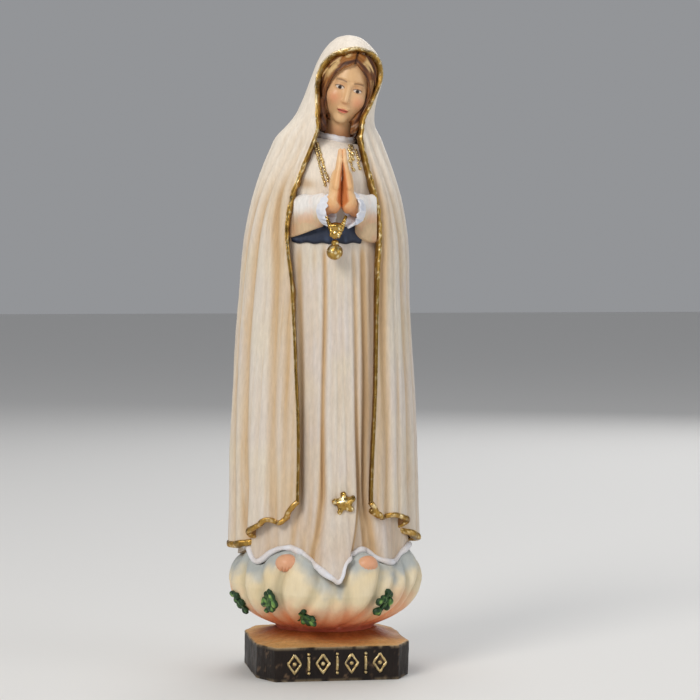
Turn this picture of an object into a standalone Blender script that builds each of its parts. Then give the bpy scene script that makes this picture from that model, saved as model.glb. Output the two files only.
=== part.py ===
"""A carved and painted madonna statuette that stands on a cloud and a wooden plinth.

The statuette faces -Y and its right hand is at -X. The origin is the middle of the plinth's underside.
Sizes are in millimetres, and MM turns them into Blender's metres where a mesh is made.
An angle goes round the figure in degrees: 0 is the front (-Y), 90 is +X and 180 is the back.
"""

import math

import bmesh
import bpy
from mathutils import Matrix, Vector

MM = 0.001
GAP = 0.3  # the glue gap between neighbouring pieces

# Mantle: height, centre x, centre y, half width, half depth, wall
MANTLE = [
    (18.0, -0.2, 0.0, 18.3, 15.3, 1.4),
    (28.0, -0.2, 0.0, 18.0, 15.2, 1.4),
    (46.0, -0.3, 0.0, 17.6, 14.7, 1.4),
    (70.0, -0.2, 0.2, 16.1, 13.8, 1.4),
    (83.0, 0.1, 0.2, 15.3, 13.4, 1.4),
    (90.0, 0.3, 0.1, 14.0, 12.6, 1.4),
    (95.0, 0.4, 0.0, 12.4, 11.4, 1.3),
    (99.0, 0.5, -0.3, 10.8, 10.3, 1.2),
    (102.0, 0.8, -0.9, 9.5, 9.4, 1.1),
    (104.5, 1.5, -1.6, 8.1, 8.8, 1.0),
    (107.5, 2.6, -2.4, 7.4, 8.5, 0.9),
    (112.5, 4.0, -3.0, 6.9, 8.0, 0.9),
    (115.5, 4.4, -3.1, 6.0, 7.1, 0.9),
    (118.0, 4.5, -3.1, 4.3, 5.2, 0.9),
    (119.6, 4.5, -3.1, 2.3, 2.9, 0.9),
    (120.2, 4.5, -3.1, 0.5, 0.6, 0.9),
]
MANTLE_FOLDS, MANTLE_FOLD_DEPTH = 12, 0.35
MANTLE_SIDES, MANTLE_CORE_SIDES = 4 * MANTLE_FOLDS, 32
# The mantle's lower edge: angle, height
MANTLE_HEM = [(-180, 23.6), (-70, 23.8), (-50, 27.5), (-36, 29.0), (-22, 32.6),
              (22, 32.6), (36, 30.0), (50, 29.0), (70, 25.4), (110, 23.8), (180, 23.6)]
# The front opening: height, left edge x, right edge x. It closes in an arch over the forehead.
OPENING = [
    (16.0, -7.1, 6.5), (32.5, -7.1, 6.5), (47.0, -7.0, 7.1), (62.6, -7.4, 7.7), (76.0, -8.0, 8.2),
    (85.0, -8.5, 8.7), (89.0, -8.1, 8.3), (94.0, -6.0, 6.8), (97.5, -4.4, 6.0), (101.5, -2.7, 5.4),
    (104.5, -2.6, 6.0), (108.0, -2.7, 8.0), (111.3, -2.6, 9.7), (113.5, -1.7, 9.7), (115.2, -0.4, 9.2),
    (116.4, 1.2, 8.2), (117.2, 3.0, 6.8),
]
OPENING_DEPTH = -1.0  # the opening reaches this y from the front

# Gown: height, centre x, centre y, half width, half depth
GOWN = [
    (17.0, -0.2, 0.0, 16.0, 14.6),
    (28.0, -0.2, 0.0, 15.9, 13.4),
    (46.0, -0.3, 0.0, 15.6, 12.9),
    (70.0, -0.2, 0.2, 14.3, 12.0),
    (80.0, 0.0, 0.2, 13.6, 11.6),
    (90.0, 0.3, 0.1, 12.2, 10.6),
    (95.0, 0.5, 0.0, 9.9, 9.0),
    (98.0, 0.7, -0.5, 7.0, 7.0),
    (99.3, 0.9, -1.2, 4.9, 5.4),
    (100.0, 1.0, -1.6, 3.4, 3.9),
]
# The gown's lower edge: angle, height. The long front fold hangs lowest, and each foot lifts the edge.
GOWN_HEM = [(-180, 22.5), (-80, 22.8), (-58, 21.1), (-45, 23.3), (-35, 24.2), (-27, 24.0), (-16, 21.8),
            (-1, 18.6), (6, 21.7), (13, 23.1), (21, 23.7), (31, 22.1), (52, 20.8), (66, 22.7), (180, 22.5)]

GOWN_FOLDS, GOWN_FOLD_DEPTH = 20, 0.25
GOWN_SIDES = 2 * GOWN_FOLDS
GOWN_UNDERSIDE = (14.2, 12.8)  # half width and half depth where it meets the cloud
FRONT_FOLD_FLARE = 1.7

# Cloud: share of its half width, height at the sides and back, height at the front
CLOUD_PROFILE = [(0.5, 8.3, 8.3), (0.56, 9.2, 9.2), (0.75, 11.0, 10.4), (0.89, 12.9, 12.0),
                 (0.97, 15.3, 13.8), (1.0, 17.6, 15.2), (0.975, 19.6, 16.9), (0.92, 20.9, 18.2),
                 (0.8, 21.6, 19.4), (0.4, 21.6, 19.8)]
CLOUD_HALF = (18.3, 16.8)
CLOUD_LOBES, CLOUD_LOBE_DEPTH = 11, 0.35
CLOUD_SIDES = 4 * CLOUD_LOBES
LEAVES = [(-79, 13.6), (-50, 15.2), (-24, 11.8), (30, 14.6), (98, 13.8), (150, 14.8), (-145, 13.4)]
LEAF_RADIUS, LEAF_THICKNESS = 1.8, 0.9

PLINTH_HALF = (14.5, 15.3)
PLINTH_CORNER = (2.9, 6.0)  # what each cut corner takes off the width and the depth
PLINTH_EDGE_HEIGHT = 6.4
PLINTH_TOP = 8.0  # the top rises to this round the cloud's foot
PLINTH_TOP_HALF = (9.6, 9.2)
EDGE_BEVEL = 0.35

PLINTH_DOWEL = (2.0, 2.6, 13.5)  # radius, lowest and highest point
FIGURE_DOWEL = (2.5, 15.5, 34.0)
DOWEL_CLEARANCE = 0.15

# The head leans to its left and looks down; the neck runs from the gown to the head.
HEAD_CENTRE = Vector((3.8, -3.3, 111.0))
HEAD_HALF = Vector((4.6, 5.7, 7.0))
HEAD_LEAN, HEAD_BOW = 14.0, 12.0
NECK_FOOT, NECK_HEAD = Vector((1.0, -1.7, 99.0)), Vector((2.9, -3.0, 108.0))
NECK_RADIUS = 2.7
HAIR_THICKNESS = 0.65
FACE_WINDOW_HALF = (3.9, 5.0)  # half width and half height of the face's opening in the hair
LOCK_RADIUS, LOCK_END = 0.75, 102.6

# The hands rise palm to palm from between the cuffs; HANDS_X is the plane between them.
HANDS_X, HANDS_Y = 1.0, -14.3
# Hand: height, thickness, half depth, shift forward
HAND = [(85.2, 1.5, 1.2, 0.0), (86.4, 2.1, 1.7, 0.0), (89.0, 2.3, 1.95, 0.1), (91.4, 2.1, 1.9, 0.2),
        (94.4, 1.6, 1.4, 0.3), (96.6, 1.1, 0.95, 0.4), (98.0, 0.6, 0.5, 0.4)]
# Arm: distance from HANDS_X, height and y of the middle, half depth, half height
CUFF = [(2.8, 86.9, -14.2, 1.5, 2.6), (4.3, 86.8, -13.9, 1.65, 2.8)]
SLEEVE = [(4.6, 86.6, -13.8, 1.75, 3.1), (6.0, 86.5, -13.2, 2.2, 3.2), (7.6, 86.4, -12.2, 2.6, 3.2),
          (9.4, 86.4, -10.6, 2.6, 3.2)]

ARM_SIDES = 16

SASH_HEIGHTS = (80.9, 82.9)
SASH_ANGLES = (-30, 30)
SASH_THICKNESS = 0.6
PENDANT_X, PENDANT_HEIGHT, PENDANT_RADIUS = -0.4, 79.2, 1.55
CORD_RADIUS = 0.4
CHAIN_RADIUS = 0.35
STAR_X, STAR_HEIGHT, STAR_RADII, STAR_THICKNESS = 1.4, 32.9, (2.1, 1.05), 0.8
EDGING_RADIUS = 0.45
EDGING_STEP = 7.0
EDGING_REACH = 0.95  # from the mantle's edge to the middle of its gilt cord
FOOT_PLACES = {"right_foot": -8.6, "left_foot": 5.8}
FOOT_Y, FOOT_HEIGHT, FOOT_HALF = -13.9, 21.9, (1.9, 2.6, 1.7)

COLOURS = {  # name: colour, roughness, metallic
    "cream_paint": ((0.80, 0.70, 0.60), 0.6, 0.0),
    "white_paint": ((0.82, 0.83, 0.85), 0.55, 0.0),
    "gown_paint": ((0.76, 0.66, 0.56), 0.6, 0.0),
    "gilding": ((0.72, 0.50, 0.18), 0.3, 1.0),
    "skin_paint": ((0.80, 0.56, 0.40), 0.5, 0.0),
    "hair_paint": ((0.26, 0.13, 0.06), 0.5, 0.0),
    "blue_paint": ((0.06, 0.08, 0.16), 0.5, 0.0),
    "cloud_paint": ((0.80, 0.66, 0.50), 0.55, 0.0),
    "leaf_paint": ((0.10, 0.24, 0.07), 0.5, 0.0),
    "stained_wood": ((0.05, 0.035, 0.03), 0.5, 0.0),
    "bare_wood": ((0.66, 0.48, 0.30), 0.7, 0.0),
}


# ---------------------------------------------------------------- numbers


def between(stations, at):
    """The smooth in-between of rows of numbers whose first number is the place."""
    last = len(stations) - 1
    at = min(max(at, stations[0][0]), stations[last][0])
    low = next(i for i in range(last) if at <= stations[i + 1][0])
    span = stations[low + 1][0] - stations[low][0]
    share = (at - stations[low][0]) / span

    def slope(i, column):
        below, above = max(i - 1, 0), min(i + 1, last)
        rise = stations[above][column] - stations[below][column]
        return rise / (stations[above][0] - stations[below][0])

    found = []
    for column in range(1, len(stations[0])):
        start, end = stations[low][column], stations[low + 1][column]
        first, second = slope(low, column) * span, slope(low + 1, column) * span
        found.append(
            (2 * share**3 - 3 * share**2 + 1) * start
            + (share**3 - 2 * share**2 + share) * first
            + (3 * share**2 - 2 * share**3) * end
            + (share**3 - share**2) * second
        )
    return found


def on_oval(centre_x, centre_y, half_width, half_depth, angle, height):
    turn = math.radians(angle)
    return Vector((centre_x + half_width * math.sin(turn), centre_y - half_depth * math.cos(turn), height))


def angles(count):
    return [-180 + 360 * i / count for i in range(count)]


def mantle_point(angle, height, inset=0.0):
    """A point of the mantle's outside, or of its inside where inset is a share of the wall above 0."""
    x, y, width, depth, wall = between(MANTLE, height)
    fold = 0.0 if inset else MANTLE_FOLD_DEPTH * math.cos(math.radians(MANTLE_FOLDS * angle))
    fold *= min(1.0, (MANTLE[-4][0] - height) / MANTLE[-4][0] * 3) if height < MANTLE[-4][0] else 0.0
    out = fold - inset * wall
    return on_oval(x, y, max(width + out, 0.1), max(depth + out, 0.1), angle, height)


def gown_point(angle, height, out=0.0):
    """A point of the gown's side. The long front fold stands out where it drops over the cloud."""
    x, y, width, depth = between(GOWN, height)
    pleated = min(1.0, max(0.0, (SASH_HEIGHTS[0] - height) / 10.0))
    out -= GOWN_FOLD_DEPTH * pleated * (1 - math.cos(math.radians(GOWN_FOLDS * angle)))
    lowered = min(1.0, max(0.0, (30.0 - height) / 9.0))
    out += FRONT_FOLD_FLARE * lowered * math.exp(-((angle / 9.0) ** 2))
    return on_oval(x, y, width + out, depth + out, angle, height)


def cloud_point(angle, share, side_height, front_height, out=0.0):
    facing = max(0.0, math.cos(math.radians(angle))) ** 2
    height = side_height + (front_height - side_height) * facing
    lobe = CLOUD_LOBE_DEPTH * math.cos(math.radians(CLOUD_LOBES * angle)) * share**4
    width, depth = (half * share + lobe + out for half in CLOUD_HALF)
    return on_oval(0.0, 0.0, width, depth, angle, height)


# ---------------------------------------------------------------- solids


def clear_scene():
    for old in list(bpy.data.objects):
        bpy.data.objects.remove(old)


def material(name):
    found = bpy.data.materials.get(name)
    if found:
        return found
    colour, roughness, metallic = COLOURS[name]
    made = bpy.data.materials.new(name)
    made.use_nodes = True
    shader = made.node_tree.nodes["Principled BSDF"]
    shader.inputs["Base Color"].default_value = (*colour, 1.0)
    shader.inputs["Roughness"].default_value = roughness
    shader.inputs["Metallic"].default_value = metallic
    return made


def object_from(mesh_builder, name, paint):
    """Links a bmesh made in millimetres as an object in metres. A paint of None makes a hidden cutter."""
    bmesh.ops.recalc_face_normals(mesh_builder, faces=mesh_builder.faces)
    bmesh.ops.scale(mesh_builder, vec=Vector((MM, MM, MM)), verts=mesh_builder.verts)
    mesh = bpy.data.meshes.new(name)
    mesh_builder.to_mesh(mesh)
    mesh_builder.free()
    made = bpy.data.objects.new(name, mesh)
    bpy.context.scene.collection.objects.link(made)
    if paint is None:
        made.hide_render = True
        made.display_type = "WIRE"
    else:
        mesh.shade_smooth()
        mesh.set_sharp_from_angle(angle=math.radians(35))
        mesh.materials.append(material(paint))
    return made


def lofted(name, rings, paint):
    """A closed solid through rings of points, with a flat face over the first and the last ring."""
    build = bmesh.new()
    rows = [[build.verts.new(point) for point in ring] for ring in rings]
    for low, high in zip(rows, rows[1:]):
        for i in range(len(low)):
            following = (i + 1) % len(low)
            build.faces.new((low[i], low[following], high[following], high[i]))
    build.faces.new(rows[0])
    build.faces.new(rows[-1])
    return object_from(build, name, paint)


def prism(name, outline, depth_from, depth_to, paint):
    """An outline of (x, z) points carried along y."""
    rings = [[Vector((x, y, z)) for x, z in outline] for y in (depth_from, depth_to)]
    return lofted(name, rings, paint)


def tube(name, path, radius, paint, sides=6):
    """A round bar along a path."""
    rings = []
    for i, point in enumerate(path):
        along = (path[min(i + 1, len(path) - 1)] - path[max(i - 1, 0)]).normalized()
        outward = Vector((point.x, point.y, 0.0))
        outward = (outward - along * outward.dot(along)).normalized()
        across = along.cross(outward)
        turns = [2 * math.pi * k / sides for k in range(sides)]
        ring = [point + (across * math.cos(t) + outward * math.sin(t)) * radius for t in turns]
        rings.append(ring)
    return lofted(name, rings, paint)


def ball(name, centre, half, turn, paint, around=20, rows=12):
    build = bmesh.new()
    bmesh.ops.create_uvsphere(build, u_segments=around, v_segments=rows, radius=1.0)
    place = Matrix.Translation(centre) @ turn @ Matrix.Diagonal((*half, 1.0))
    bmesh.ops.transform(build, matrix=place, verts=build.verts)
    return object_from(build, name, paint)


def boolean(target, other, operation="DIFFERENCE"):
    step = target.modifiers.new(f"{operation.lower()}_{other.name}", "BOOLEAN")
    step.operation = operation
    step.object = other
    step.solver = "EXACT"
    return target


def hidden(target):
    target.hide_render = True
    target.display_type = "WIRE"
    return target


# ---------------------------------------------------------------- cutters that keep the glue gaps


def gown_space():
    heights = [15.0, *(row[0] for row in GOWN[1:]), GOWN[-1][0] + GAP]
    rings = [[gown_point(a, h, GAP) for a in angles(GOWN_SIDES)] for h in heights]
    return lofted("gown_space", rings, None)


def cloud_space():
    """The cloud grown by the gap: its foot is lowered and its top is raised as well."""
    middle = len(CLOUD_PROFILE) // 2
    rings = []
    for i, row in enumerate(CLOUD_PROFILE):
        lift = GAP * max(-1, min(1, i - middle))
        rings.append([cloud_point(a, *row, GAP) + Vector((0, 0, lift)) for a in angles(CLOUD_SIDES)])
    return lofted("cloud_space", rings, None)


def opening_outline(inset):
    """The opening seen from the front, up its left edge and down its right one, moved in by inset."""
    edge = [Vector((x, z)) for z, x, _ in OPENING]
    top_z, top_left, top_right = OPENING[-1]
    edge.append(Vector(((top_left + top_right) / 2, top_z + 0.2)))
    edge += [Vector((x, z)) for z, _, x in reversed(OPENING)]
    moved = []
    for i, point in enumerate(edge):
        along = (edge[min(i + 1, len(edge) - 1)] - edge[max(i - 1, 0)]).normalized()
        moved.append((point.x + along.y * inset, point.y - along.x * inset))
    return moved


def opening_space(name, inset, depth_to):
    return prism(name, opening_outline(inset), -30.0, depth_to, None)


# ---------------------------------------------------------------- base


def make_plinth():
    half_x, half_y = PLINTH_HALF
    cut_x, cut_y = PLINTH_CORNER
    front = [(half_x - cut_x, -half_y), (half_x, -half_y + cut_y)]
    corners = front + [(x, -y) for x, y in reversed(front)]
    outline = corners + [(-x, y) for x, y in reversed(corners)]
    top = PLINTH_EDGE_HEIGHT
    rings = []
    for height, grow in ((0.0, -EDGE_BEVEL), (EDGE_BEVEL, 0.0), (top - EDGE_BEVEL, 0.0), (top, -EDGE_BEVEL)):
        scale_x, scale_y = 1 + grow / half_x, 1 + grow / half_y
        rings.append([Vector((x * scale_x, y * scale_y, height)) for x, y in outline])
    top_x, top_y = PLINTH_TOP_HALF
    rings.append([Vector((x / half_x * top_x, y / half_y * top_y, PLINTH_TOP)) for x, y in outline])
    plinth = lofted("plinth", rings, "stained_wood")
    radius, low, high = PLINTH_DOWEL
    return boolean(plinth, peg("plinth_hole", radius + DOWEL_CLEARANCE, low - GAP, high, None))


def peg(name, radius, low, high, paint):
    rings = [[on_oval(0, 0, radius, radius, a, h) for a in angles(24)] for h in (low, high)]
    return lofted(name, rings, paint)


def make_dowels():
    peg("plinth_dowel", *PLINTH_DOWEL, "bare_wood")
    peg("figure_dowel", *FIGURE_DOWEL, "bare_wood")


def make_cloud():
    rings = [[cloud_point(a, *row) for a in angles(CLOUD_SIDES)] for row in CLOUD_PROFILE]
    cloud = lofted("cloud", rings, "cloud_paint")
    radius, low, high = PLINTH_DOWEL
    boolean(cloud, peg("cloud_lower_hole", radius + DOWEL_CLEARANCE, low, high + GAP, None))
    radius, low, high = FIGURE_DOWEL
    return boolean(cloud, peg("cloud_upper_hole", radius + DOWEL_CLEARANCE, low - GAP, high, None))


def cloud_surface(angle, height):
    """The point and outward direction of the cloud's side at this height."""
    rows = [cloud_point(angle, *row) for row in CLOUD_PROFILE[:7]]
    upper = next(i for i in range(1, len(rows)) if rows[i].z >= height or i == len(rows) - 1)
    low, high = rows[upper - 1], rows[upper]
    point = low.lerp(high, min(1.0, (height - low.z) / (high.z - low.z)))
    sideways = cloud_point(angle + 2, *CLOUD_PROFILE[upper]) - cloud_point(angle - 2, *CLOUD_PROFILE[upper])
    return point, sideways.cross(high - low).normalized()


def make_leaves(cloud_cutter):
    """Lobed leaf clusters that stand on the cloud's side."""
    for number, (angle, height) in enumerate(LEAVES, 1):
        point, outward = cloud_surface(angle, height)
        turn = outward.to_track_quat("Z", "Y").to_matrix().to_4x4()
        rings = []
        for level in (-LEAF_THICKNESS, GAP + LEAF_THICKNESS * 0.7):
            ring = []
            for i in range(20):
                t = 2 * math.pi * i / 20
                reach = LEAF_RADIUS * (1 + 0.18 * math.cos(5 * t))
                ring.append(point + turn @ Vector((reach * math.cos(t), reach * math.sin(t) * 0.8, level)))
            rings.append(ring)
        boolean(lofted(f"leaf_{number}", rings, "leaf_paint"), cloud_cutter)


# ---------------------------------------------------------------- dress


def make_gown(cloud_cutter):
    heights = [0.0, 0.05, 0.12, 0.3, 0.5, 0.65, 0.75, 0.83, 0.9, 0.94, 0.97, 0.99, 1.0]
    top = GOWN[-1][0]
    rings = [[on_oval(0, 0, *GOWN_UNDERSIDE, a, GOWN[0][0]) for a in angles(GOWN_SIDES)]]
    for share in heights:
        ring = []
        for a in angles(GOWN_SIDES):
            foot = between(GOWN_HEM, a)[0]
            ring.append(gown_point(a, foot + share * (top - foot)))
        rings.append(ring)
    gown = lofted("gown", rings, "gown_paint")
    boolean(gown, cloud_cutter)
    radius, low, high = FIGURE_DOWEL
    boolean(gown, peg("gown_hole", radius + DOWEL_CLEARANCE, low, high + GAP, None))
    return boolean(gown, neck("neck_socket", NECK_RADIUS + GAP, None, below=GAP))


def make_feet(gown_cutter, cloud_cutter):
    band_space = tube("band_space", hem_band_path(), EDGING_RADIUS + GAP, None)
    for name, x in FOOT_PLACES.items():
        foot = ball(name, Vector((x, FOOT_Y, FOOT_HEIGHT)), FOOT_HALF, Matrix(), "skin_paint", 16, 10)
        boolean(foot, gown_cutter)
        boolean(foot, band_space)
        boolean(foot, cloud_cutter)


def hem_band_path():
    path = []
    for a in range(-72, 67, 4):
        height = between(GOWN_HEM, a)[0] + EDGING_RADIUS
        path.append(gown_point(a, height, GAP + EDGING_RADIUS * 0.8))
    return path


def make_hem_band(gown_cutter, cloud_cutter):
    """The white edge along the part of the gown's hem that the mantle leaves free."""
    band = tube("gown_hem_band", hem_band_path(), EDGING_RADIUS, "white_paint")
    boolean(band, cloud_cutter)
    return boolean(band, gown_cutter)


def make_star(gown_cutter):
    outline = []
    for i in range(10):
        t = math.radians(36 * i)
        reach = STAR_RADII[i % 2]
        outline.append((STAR_X + reach * math.sin(t), STAR_HEIGHT + reach * math.cos(t)))
    front = gown_point(0, STAR_HEIGHT, GAP).y
    return boolean(prism("star", outline, front - STAR_THICKNESS, front + 2.0, "gilding"), gown_cutter)


def make_sash(gown_cutter):
    low, high = SASH_HEIGHTS
    first, last = SASH_ANGLES
    rings = []
    for a in range(first, last + 1, 5):
        corners = [(low, 0.2), (low, GAP + SASH_THICKNESS), (high, GAP + SASH_THICKNESS), (high, 0.2)]
        rings.append([gown_point(a, height, out) for height, out in corners])
    return boolean(lofted("sash", rings, "blue_paint"), gown_cutter)


def make_mantle():
    shares = [0.0, 0.05, 0.22, 0.44, 0.6, 0.68, 0.75, 0.8, 0.84, 0.88, 0.92, 0.95, 0.975, 0.992, 1.0]
    top = MANTLE[-1][0]
    rings = [[mantle_point(a, between(MANTLE_HEM, a)[0], inset=3.0) for a in angles(MANTLE_SIDES)]]
    for share in shares:
        ring = []
        for a in angles(MANTLE_SIDES):
            foot = between(MANTLE_HEM, a)[0]
            ring.append(mantle_point(a, foot + share * (top - foot)))
        rings.append(ring)
    mantle = lofted("mantle", rings, "cream_paint")
    heights = [12.0, 28, 46, 65, 80, 90, 96, 99.5, 102, 104.5, 108, 112.5, 115.5, 117.3, 118.7, 119.3]
    rings = [[mantle_point(a, h, inset=1.0) for a in angles(MANTLE_CORE_SIDES)] for h in heights]
    boolean(mantle, lofted("mantle_core", rings, None))
    return boolean(mantle, opening_space("mantle_opening", 0.0, OPENING_DEPTH))


def make_edging():
    """The gilt cord along both front edges and over the brim, and the one along the hem."""
    outline = opening_outline(EDGING_REACH)[1:-1]
    path = []
    for (x, z), (next_x, next_z) in zip(outline, outline[1:]):
        steps = max(1, round(math.hypot(next_x - x, next_z - z) / EDGING_STEP))
        for i in range(steps):
            share = i / steps
            path.append(on_mantle_front(x + (next_x - x) * share, z + (next_z - z) * share))
    path.append(on_mantle_front(*outline[-1]))
    tube("mantle_edging", path, EDGING_RADIUS, "gilding")
    hem_path = []
    for a in range(24, 337, 8):
        turn = a - 360 if a > 180 else a
        before, after = (mantle_point(t, between(MANTLE_HEM, t)[0]) for t in (turn - 2, turn + 2))
        steepness = (after - before).length / (after - before).xy.length
        height = between(MANTLE_HEM, turn)[0] - EDGING_REACH * steepness
        hem_path.append(mantle_point(turn, height, inset=0.4))
    tube("mantle_hem_edging", hem_path, EDGING_RADIUS, "gilding")


def on_mantle_front(x, height):
    """The point of the mantle's front at this x, half a wall in."""
    centre_x, centre_y, width, depth, wall = between(MANTLE, height)
    across = max(-0.98, min(0.98, (x - centre_x) / width))
    return Vector((x, centre_y - (depth - wall / 2) * math.sqrt(1 - across**2), height))


# ---------------------------------------------------------------- arms


def arm_rings(stations, side):
    """Upright rings across the arm on this side of the hands' middle plane."""
    rings = []
    for reach, height, y, half_depth, half_height in stations:
        ring = []
        for a in angles(ARM_SIDES):
            depth, rise = half_depth * math.cos(math.radians(a)), half_height * math.sin(math.radians(a))
            ring.append(Vector((HANDS_X + side * reach, y + depth, height + rise)))
        rings.append(ring)
    return rings


def make_arm(side_name, side, gown_cutter, window):
    rings = []
    for height, thickness, half_deep, forward in HAND:
        ring = []
        for a in angles(ARM_SIDES):
            point = on_oval(0.0, HANDS_Y - forward, thickness, half_deep, a, height)
            point.x = HANDS_X + side * (GAP / 2 + max(0.0, point.x))  # the palm is flat
            ring.append(point)
        rings.append(ring)
    boolean(lofted(f"{side_name}_hand", rings, "skin_paint"), gown_cutter)
    boolean(lofted(f"{side_name}_cuff", arm_rings(CUFF, side), "white_paint"), gown_cutter)
    sleeve = lofted(f"{side_name}_sleeve", arm_rings(SLEEVE, side), "cream_paint")
    boolean(sleeve, window, "INTERSECT")
    boolean(sleeve, gown_cutter)


# ---------------------------------------------------------------- head


def head_turn():
    lean = Matrix.Rotation(math.radians(HEAD_LEAN), 4, "Y")
    bow = Matrix.Rotation(math.radians(HEAD_BOW), 4, "X")
    return lean @ bow


def neck(name, radius, paint, below=0.0):
    path = [NECK_FOOT - Vector((0, 0, below)), NECK_HEAD]
    rings = [[on_oval(p.x, p.y, radius, radius, a, p.z) for a in angles(20)] for p in path]
    return lofted(name, rings, paint)


def make_head():
    head = ball("head", HEAD_CENTRE, HEAD_HALF, head_turn(), "skin_paint")
    boolean(head, hidden(neck("neck_stem", NECK_RADIUS, None)), "UNION")


def make_hair():
    """A cap that follows the skull, open over the face, with a lock down each side of the neck."""
    turn = head_turn()
    outer = HEAD_HALF + Vector((HAIR_THICKNESS + GAP,) * 3)
    hair = ball("hair", HEAD_CENTRE, outer, turn, "hair_paint")
    for side in (-1, 1):
        top = HEAD_CENTRE + turn @ Vector((side * (HEAD_HALF.x + 0.5), -1.2, -2.0))
        reach = NECK_RADIUS + LOCK_RADIUS + 1.5 * GAP
        foot = Vector((NECK_FOOT.x + side * reach, NECK_FOOT.y - 2.0, LOCK_END))
        lock = tube(f"lock_{side + 2}", [foot, foot.lerp(top, 0.5), top], LOCK_RADIUS, None, 10)
        boolean(hair, lock, "UNION")
    boolean(hair, ball("head_space", HEAD_CENTRE, HEAD_HALF + Vector((GAP,) * 3), turn, None))
    boolean(hair, neck("neck_room", NECK_RADIUS + GAP, None))
    window_x, window_z = FACE_WINDOW_HALF
    place = HEAD_CENTRE + turn @ Vector((0.0, -HEAD_HALF.y, -1.4))
    return boolean(hair, ball("face_window", place, (window_x, 5.0, window_z), turn, None))


def make_collar(gown_cutter):
    build = []
    lean = ((NECK_HEAD - NECK_FOOT).normalized() + Vector((0, 0, 1))).normalized()
    turn = lean.to_track_quat("Z", "Y").to_matrix()
    middle = NECK_FOOT + lean * 1.9
    for i in range(28):
        t = 2 * math.pi * i / 28
        spoke = turn @ Vector((math.cos(t), math.sin(t), 0.0))
        ring_centre = middle + spoke * (NECK_RADIUS + GAP + 0.55)
        build.append([ring_centre + spoke * 0.4 * math.cos(k) + lean * 0.4 * math.sin(k)
                      for k in [2 * math.pi * n / 8 for n in range(8)]])
    mesh = bmesh.new()
    rows = [[mesh.verts.new(point) for point in ring] for ring in build]
    for i, row in enumerate(rows):
        following = rows[(i + 1) % len(rows)]
        for k in range(len(row)):
            after = (k + 1) % len(row)
            mesh.faces.new((row[k], row[after], following[after], following[k]))
    return boolean(object_from(mesh, "collar", "white_paint"), gown_cutter)


# ---------------------------------------------------------------- jewellery


def make_chains(gown_cutter):
    """Two strands that run down the chest from the collar to the hands."""
    for name, side in (("right_chain", -1), ("left_chain", 1)):
        path = []
        for i in range(12):
            share = i / 11
            x = NECK_FOOT.x + side * (4.1 - 1.2 * share)
            height = 99.2 - 7.2 * share
            centre_x, centre_y, width, depth = between(GOWN, height)
            out = GAP + CHAIN_RADIUS + 0.1
            across = (x - centre_x) / (width + out)
            path.append(Vector((x, centre_y - (depth + out) * math.sqrt(1 - across**2), height)))
        boolean(tube(name, path, CHAIN_RADIUS, "gilding"), gown_cutter)


def make_pendant():
    """The ball hangs below the sash from a short cord that comes down from the hands."""
    front = gown_point(0, PENDANT_HEIGHT).y
    ball_y = front - GAP - PENDANT_RADIUS
    centre = Vector((PENDANT_X, ball_y, PENDANT_HEIGHT))
    ball("pendant", centre, (PENDANT_RADIUS,) * 3, Matrix(), "gilding", 20, 14)
    cord_y = gown_point(0, SASH_HEIGHTS[1]).y - 2 * GAP - SASH_THICKNESS - CORD_RADIUS
    low = PENDANT_HEIGHT + PENDANT_RADIUS + GAP
    high = HAND[0][0] - GAP
    path = [Vector((PENDANT_X, cord_y, low)), Vector((PENDANT_X / 2, cord_y - 0.8, (low + high) / 2)),
            Vector((HANDS_X / 2, cord_y - 1.3, high))]
    tube("pendant_cord", path, CORD_RADIUS, "gilding")


def main():
    clear_scene()
    gown_cutter = gown_space()
    cloud_cutter = cloud_space()
    window = opening_space("arm_window", EDGING_REACH + EDGING_RADIUS + GAP, 0.0)
    make_plinth()
    make_dowels()
    make_cloud()
    make_leaves(cloud_cutter)
    make_gown(cloud_cutter)
    make_feet(gown_cutter, cloud_cutter)
    make_hem_band(gown_cutter, cloud_cutter)
    make_star(gown_cutter)
    make_sash(gown_cutter)
    make_mantle()
    make_edging()
    make_arm("right", -1, gown_cutter, window)
    make_arm("left", 1, gown_cutter, window)
    make_head()
    make_hair()
    make_collar(gown_cutter)
    make_chains(gown_cutter)
    make_pendant()


main()
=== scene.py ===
"""The looks of a carved, hand-painted madonna statuette on its cloud and plinth.

Shapes are worked out in millimetres, in the frame's own axes: +Z up, the figure faces -Y, its right hand
is at -X. Edges are called left and right as seen from the front, so left is at -X.
An angle goes round the figure in degrees: 0 is the front (-Y), 90 is +X.
Each piece carries a "paint" colour for every point, which its material reads and then varies.
"""

import itertools
import math

import bpy
import numpy as np
from mathutils import Matrix, Vector


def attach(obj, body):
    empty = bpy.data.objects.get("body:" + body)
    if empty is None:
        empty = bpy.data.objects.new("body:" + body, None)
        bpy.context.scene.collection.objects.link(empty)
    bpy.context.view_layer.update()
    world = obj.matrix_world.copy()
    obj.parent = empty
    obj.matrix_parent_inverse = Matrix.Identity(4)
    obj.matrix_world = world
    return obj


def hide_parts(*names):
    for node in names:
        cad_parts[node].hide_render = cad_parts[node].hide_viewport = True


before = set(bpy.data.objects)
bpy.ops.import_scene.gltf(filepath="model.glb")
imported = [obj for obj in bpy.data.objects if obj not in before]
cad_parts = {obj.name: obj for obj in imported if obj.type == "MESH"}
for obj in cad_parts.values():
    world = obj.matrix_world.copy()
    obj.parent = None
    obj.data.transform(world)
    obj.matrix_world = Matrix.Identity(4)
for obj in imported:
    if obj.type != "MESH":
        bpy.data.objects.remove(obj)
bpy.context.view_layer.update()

MM = 0.001

# ---------------------------------------------------------------- driving shapes, in millimetres

TOP = 120.2
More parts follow.
